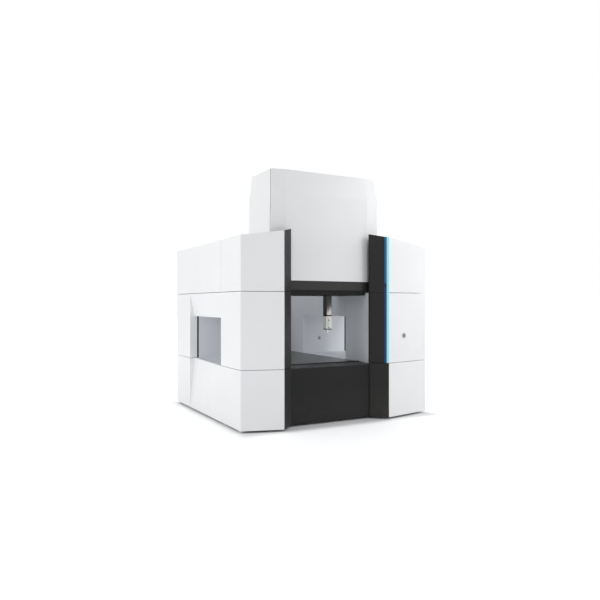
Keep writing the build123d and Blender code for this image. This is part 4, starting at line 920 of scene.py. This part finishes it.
def hood_shell(name, node_name, rear):
    """One shell of the hood: a leaning wall with a closed top and a rounded top edge."""
    form = bmesh.new()
    start, end = HOOD_SHOULDER - HOOD_BLEND, HOOD_SHOULDER + HOOD_BLEND
    bend = [
        start + (end - start) * i / HOOD_BLEND_STEPS for i in range(HOOD_BLEND_STEPS + 1)
    ]
    rings = [
        [form.verts.new(spot(p.x, p.y, z)) for p in hood_line(z, rear)]
        for z in (HOOD_FOOT, *bend, HOOD_TOP)
    ]
    for low, high in zip(rings, rings[1:]):
        for i in range(len(low) - 1):
            form.faces.new((low[i], low[i + 1], high[i + 1], high[i]))
    form.faces.new(rings[-1])
    piece = joined(name, form, shaded_hood_white)
    edge = piece.modifiers.new("top_edge", "BEVEL")
    edge.width = 0.012
    edge.segments = 4
    edge.limit_method = "ANGLE"
    edge.angle_limit = radians(40)
    wall = piece.modifiers.new("wall", "SOLIDIFY")
    wall.thickness = 0.006
    wall.offset = -1
    flat_faces = piece.modifiers.new("flat_faces", "WEIGHTED_NORMAL")
    flat_faces.weight = 100
    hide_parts(node_name)
    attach(piece, "bridge")


hood_shell("hood_front_skin", "hood_front_shell", False)
hood_shell("hood_rear_skin", "hood_rear_shell", True)

# The carriage: an aluminium plate across both beams with the ram's sleeve welded through it.
# It rides on air bearings, and a bought-in cylinder beside the sleeve carries the ram.
milled_aluminium = finish(
    "milled_aluminium", metal_tree,
    {"Colour": (0.72, 0.73, 0.74, 1), "Gloss Level": 0.36, "Stretch": (0.05, 1, 1),
     "Grain Size": 0.0016},
    metallic=1.0, relief=0.06,
)
rounded("carriage_frame", milled_aluminium, 2)
dress("carriage_air_pads", pad_metal)
dress("x_motor_coil", coil_resin)
rounded("counterbalance_cylinder", milled_aluminium, 1)

# The ram: a square ceramic-coated quill, ground on all sides, with its rod and bracket.
# Air bearings in the sleeve guide it, and the piston rod lifts it from its top.
ram_coat = finish(
    "ram_coat", metal_tree,
    {"Colour": (0.014, 0.0145, 0.017, 1), "Gloss Level": 0.07, "Stretch": (1, 1, 0.02),
     "Grain Size": 0.0012},
    specular=0.4,
)
rounded("ram", ram_coat, 1.5)
rounded("piston_rod", bright_steel, 1, segments=1)

# The probe head: a light cast casing between two black plates, with a groove down its front.
# The change plate is screwed to the ram, and the head's kinematic plate carries the stylus.
black_anodised = finish(
    "black_anodised", coat_tree,
    {"Colour": grey(0.005), "Gloss Level": 0.45, "Peel Size": 0.0006, "Dust": 0.0},
    relief=0.05, distance=0.0001, specular=0.08,
)
head_casting = finish(
    "head_casting", coat_tree,
    {"Colour": (0.93, 0.94, 0.89, 1), "Gloss Level": 0.30, "Peel Size": 0.0012, "Dust": 0.0},
    relief=0.06, distance=0.0002,
)
rounded("head_adapter", black_anodised, 1)
rounded("probe_head", head_casting, 0.4)
dress("probe_x_stage", milled_aluminium)
dress("probe_y_stage", milled_aluminium)
HEAD_FRONT, PROUD, SCREW_RADIUS, SCREW_SINK = 631, 0.08, 8, 0.5
screw_profile = [(SCREW_RADIUS, -SCREW_SINK), (SCREW_RADIUS, PROUD), (0, PROUD)]
head_screws = bmesh.new()
for z in (1252, 1355):
    turned(head_screws, screw_profile, (230, HEAD_FRONT, z), steps=24, axis=(0, -1, 0))
joined("head_screws", head_screws, black_anodised, "ram")
head_trim = bmesh.new()
bar(head_trim, x0=209.5, x1=216.5, y0=HEAD_FRONT - PROUD, y1=634, z0=1238, z1=1410)
joined("head_trim", head_trim, black_anodised, "ram", smooth=False)
rounded("stylus_carrier", black_anodised, 1)
rounded("stylus_plate", milled_aluminium, 1)

# The stylus: a white ceramic stem with a ruby ball cemented to its end.
# It is screwed to the plate by hand and is the only part that touches the workpiece.
stem_ceramic = finish(
    "stem_ceramic", coat_tree,
    {"Colour": (0.82, 0.82, 0.80, 1), "Gloss Level": 0.25, "Peel Size": 0.0006, "Dust": 0.0},
    relief=0.03, distance=0.0001,
)
ruby = finish(
    "ruby", coat_tree,
    {"Colour": (0.45, 0.006, 0.02, 1), "Gloss Level": 0.1, "Peel Size": 0.001, "Dust": 0.0},
    specular=0.8,
)
rounded("stylus", stem_ceramic, 0.4, segments=1)
dress("stylus_ball", ruby)
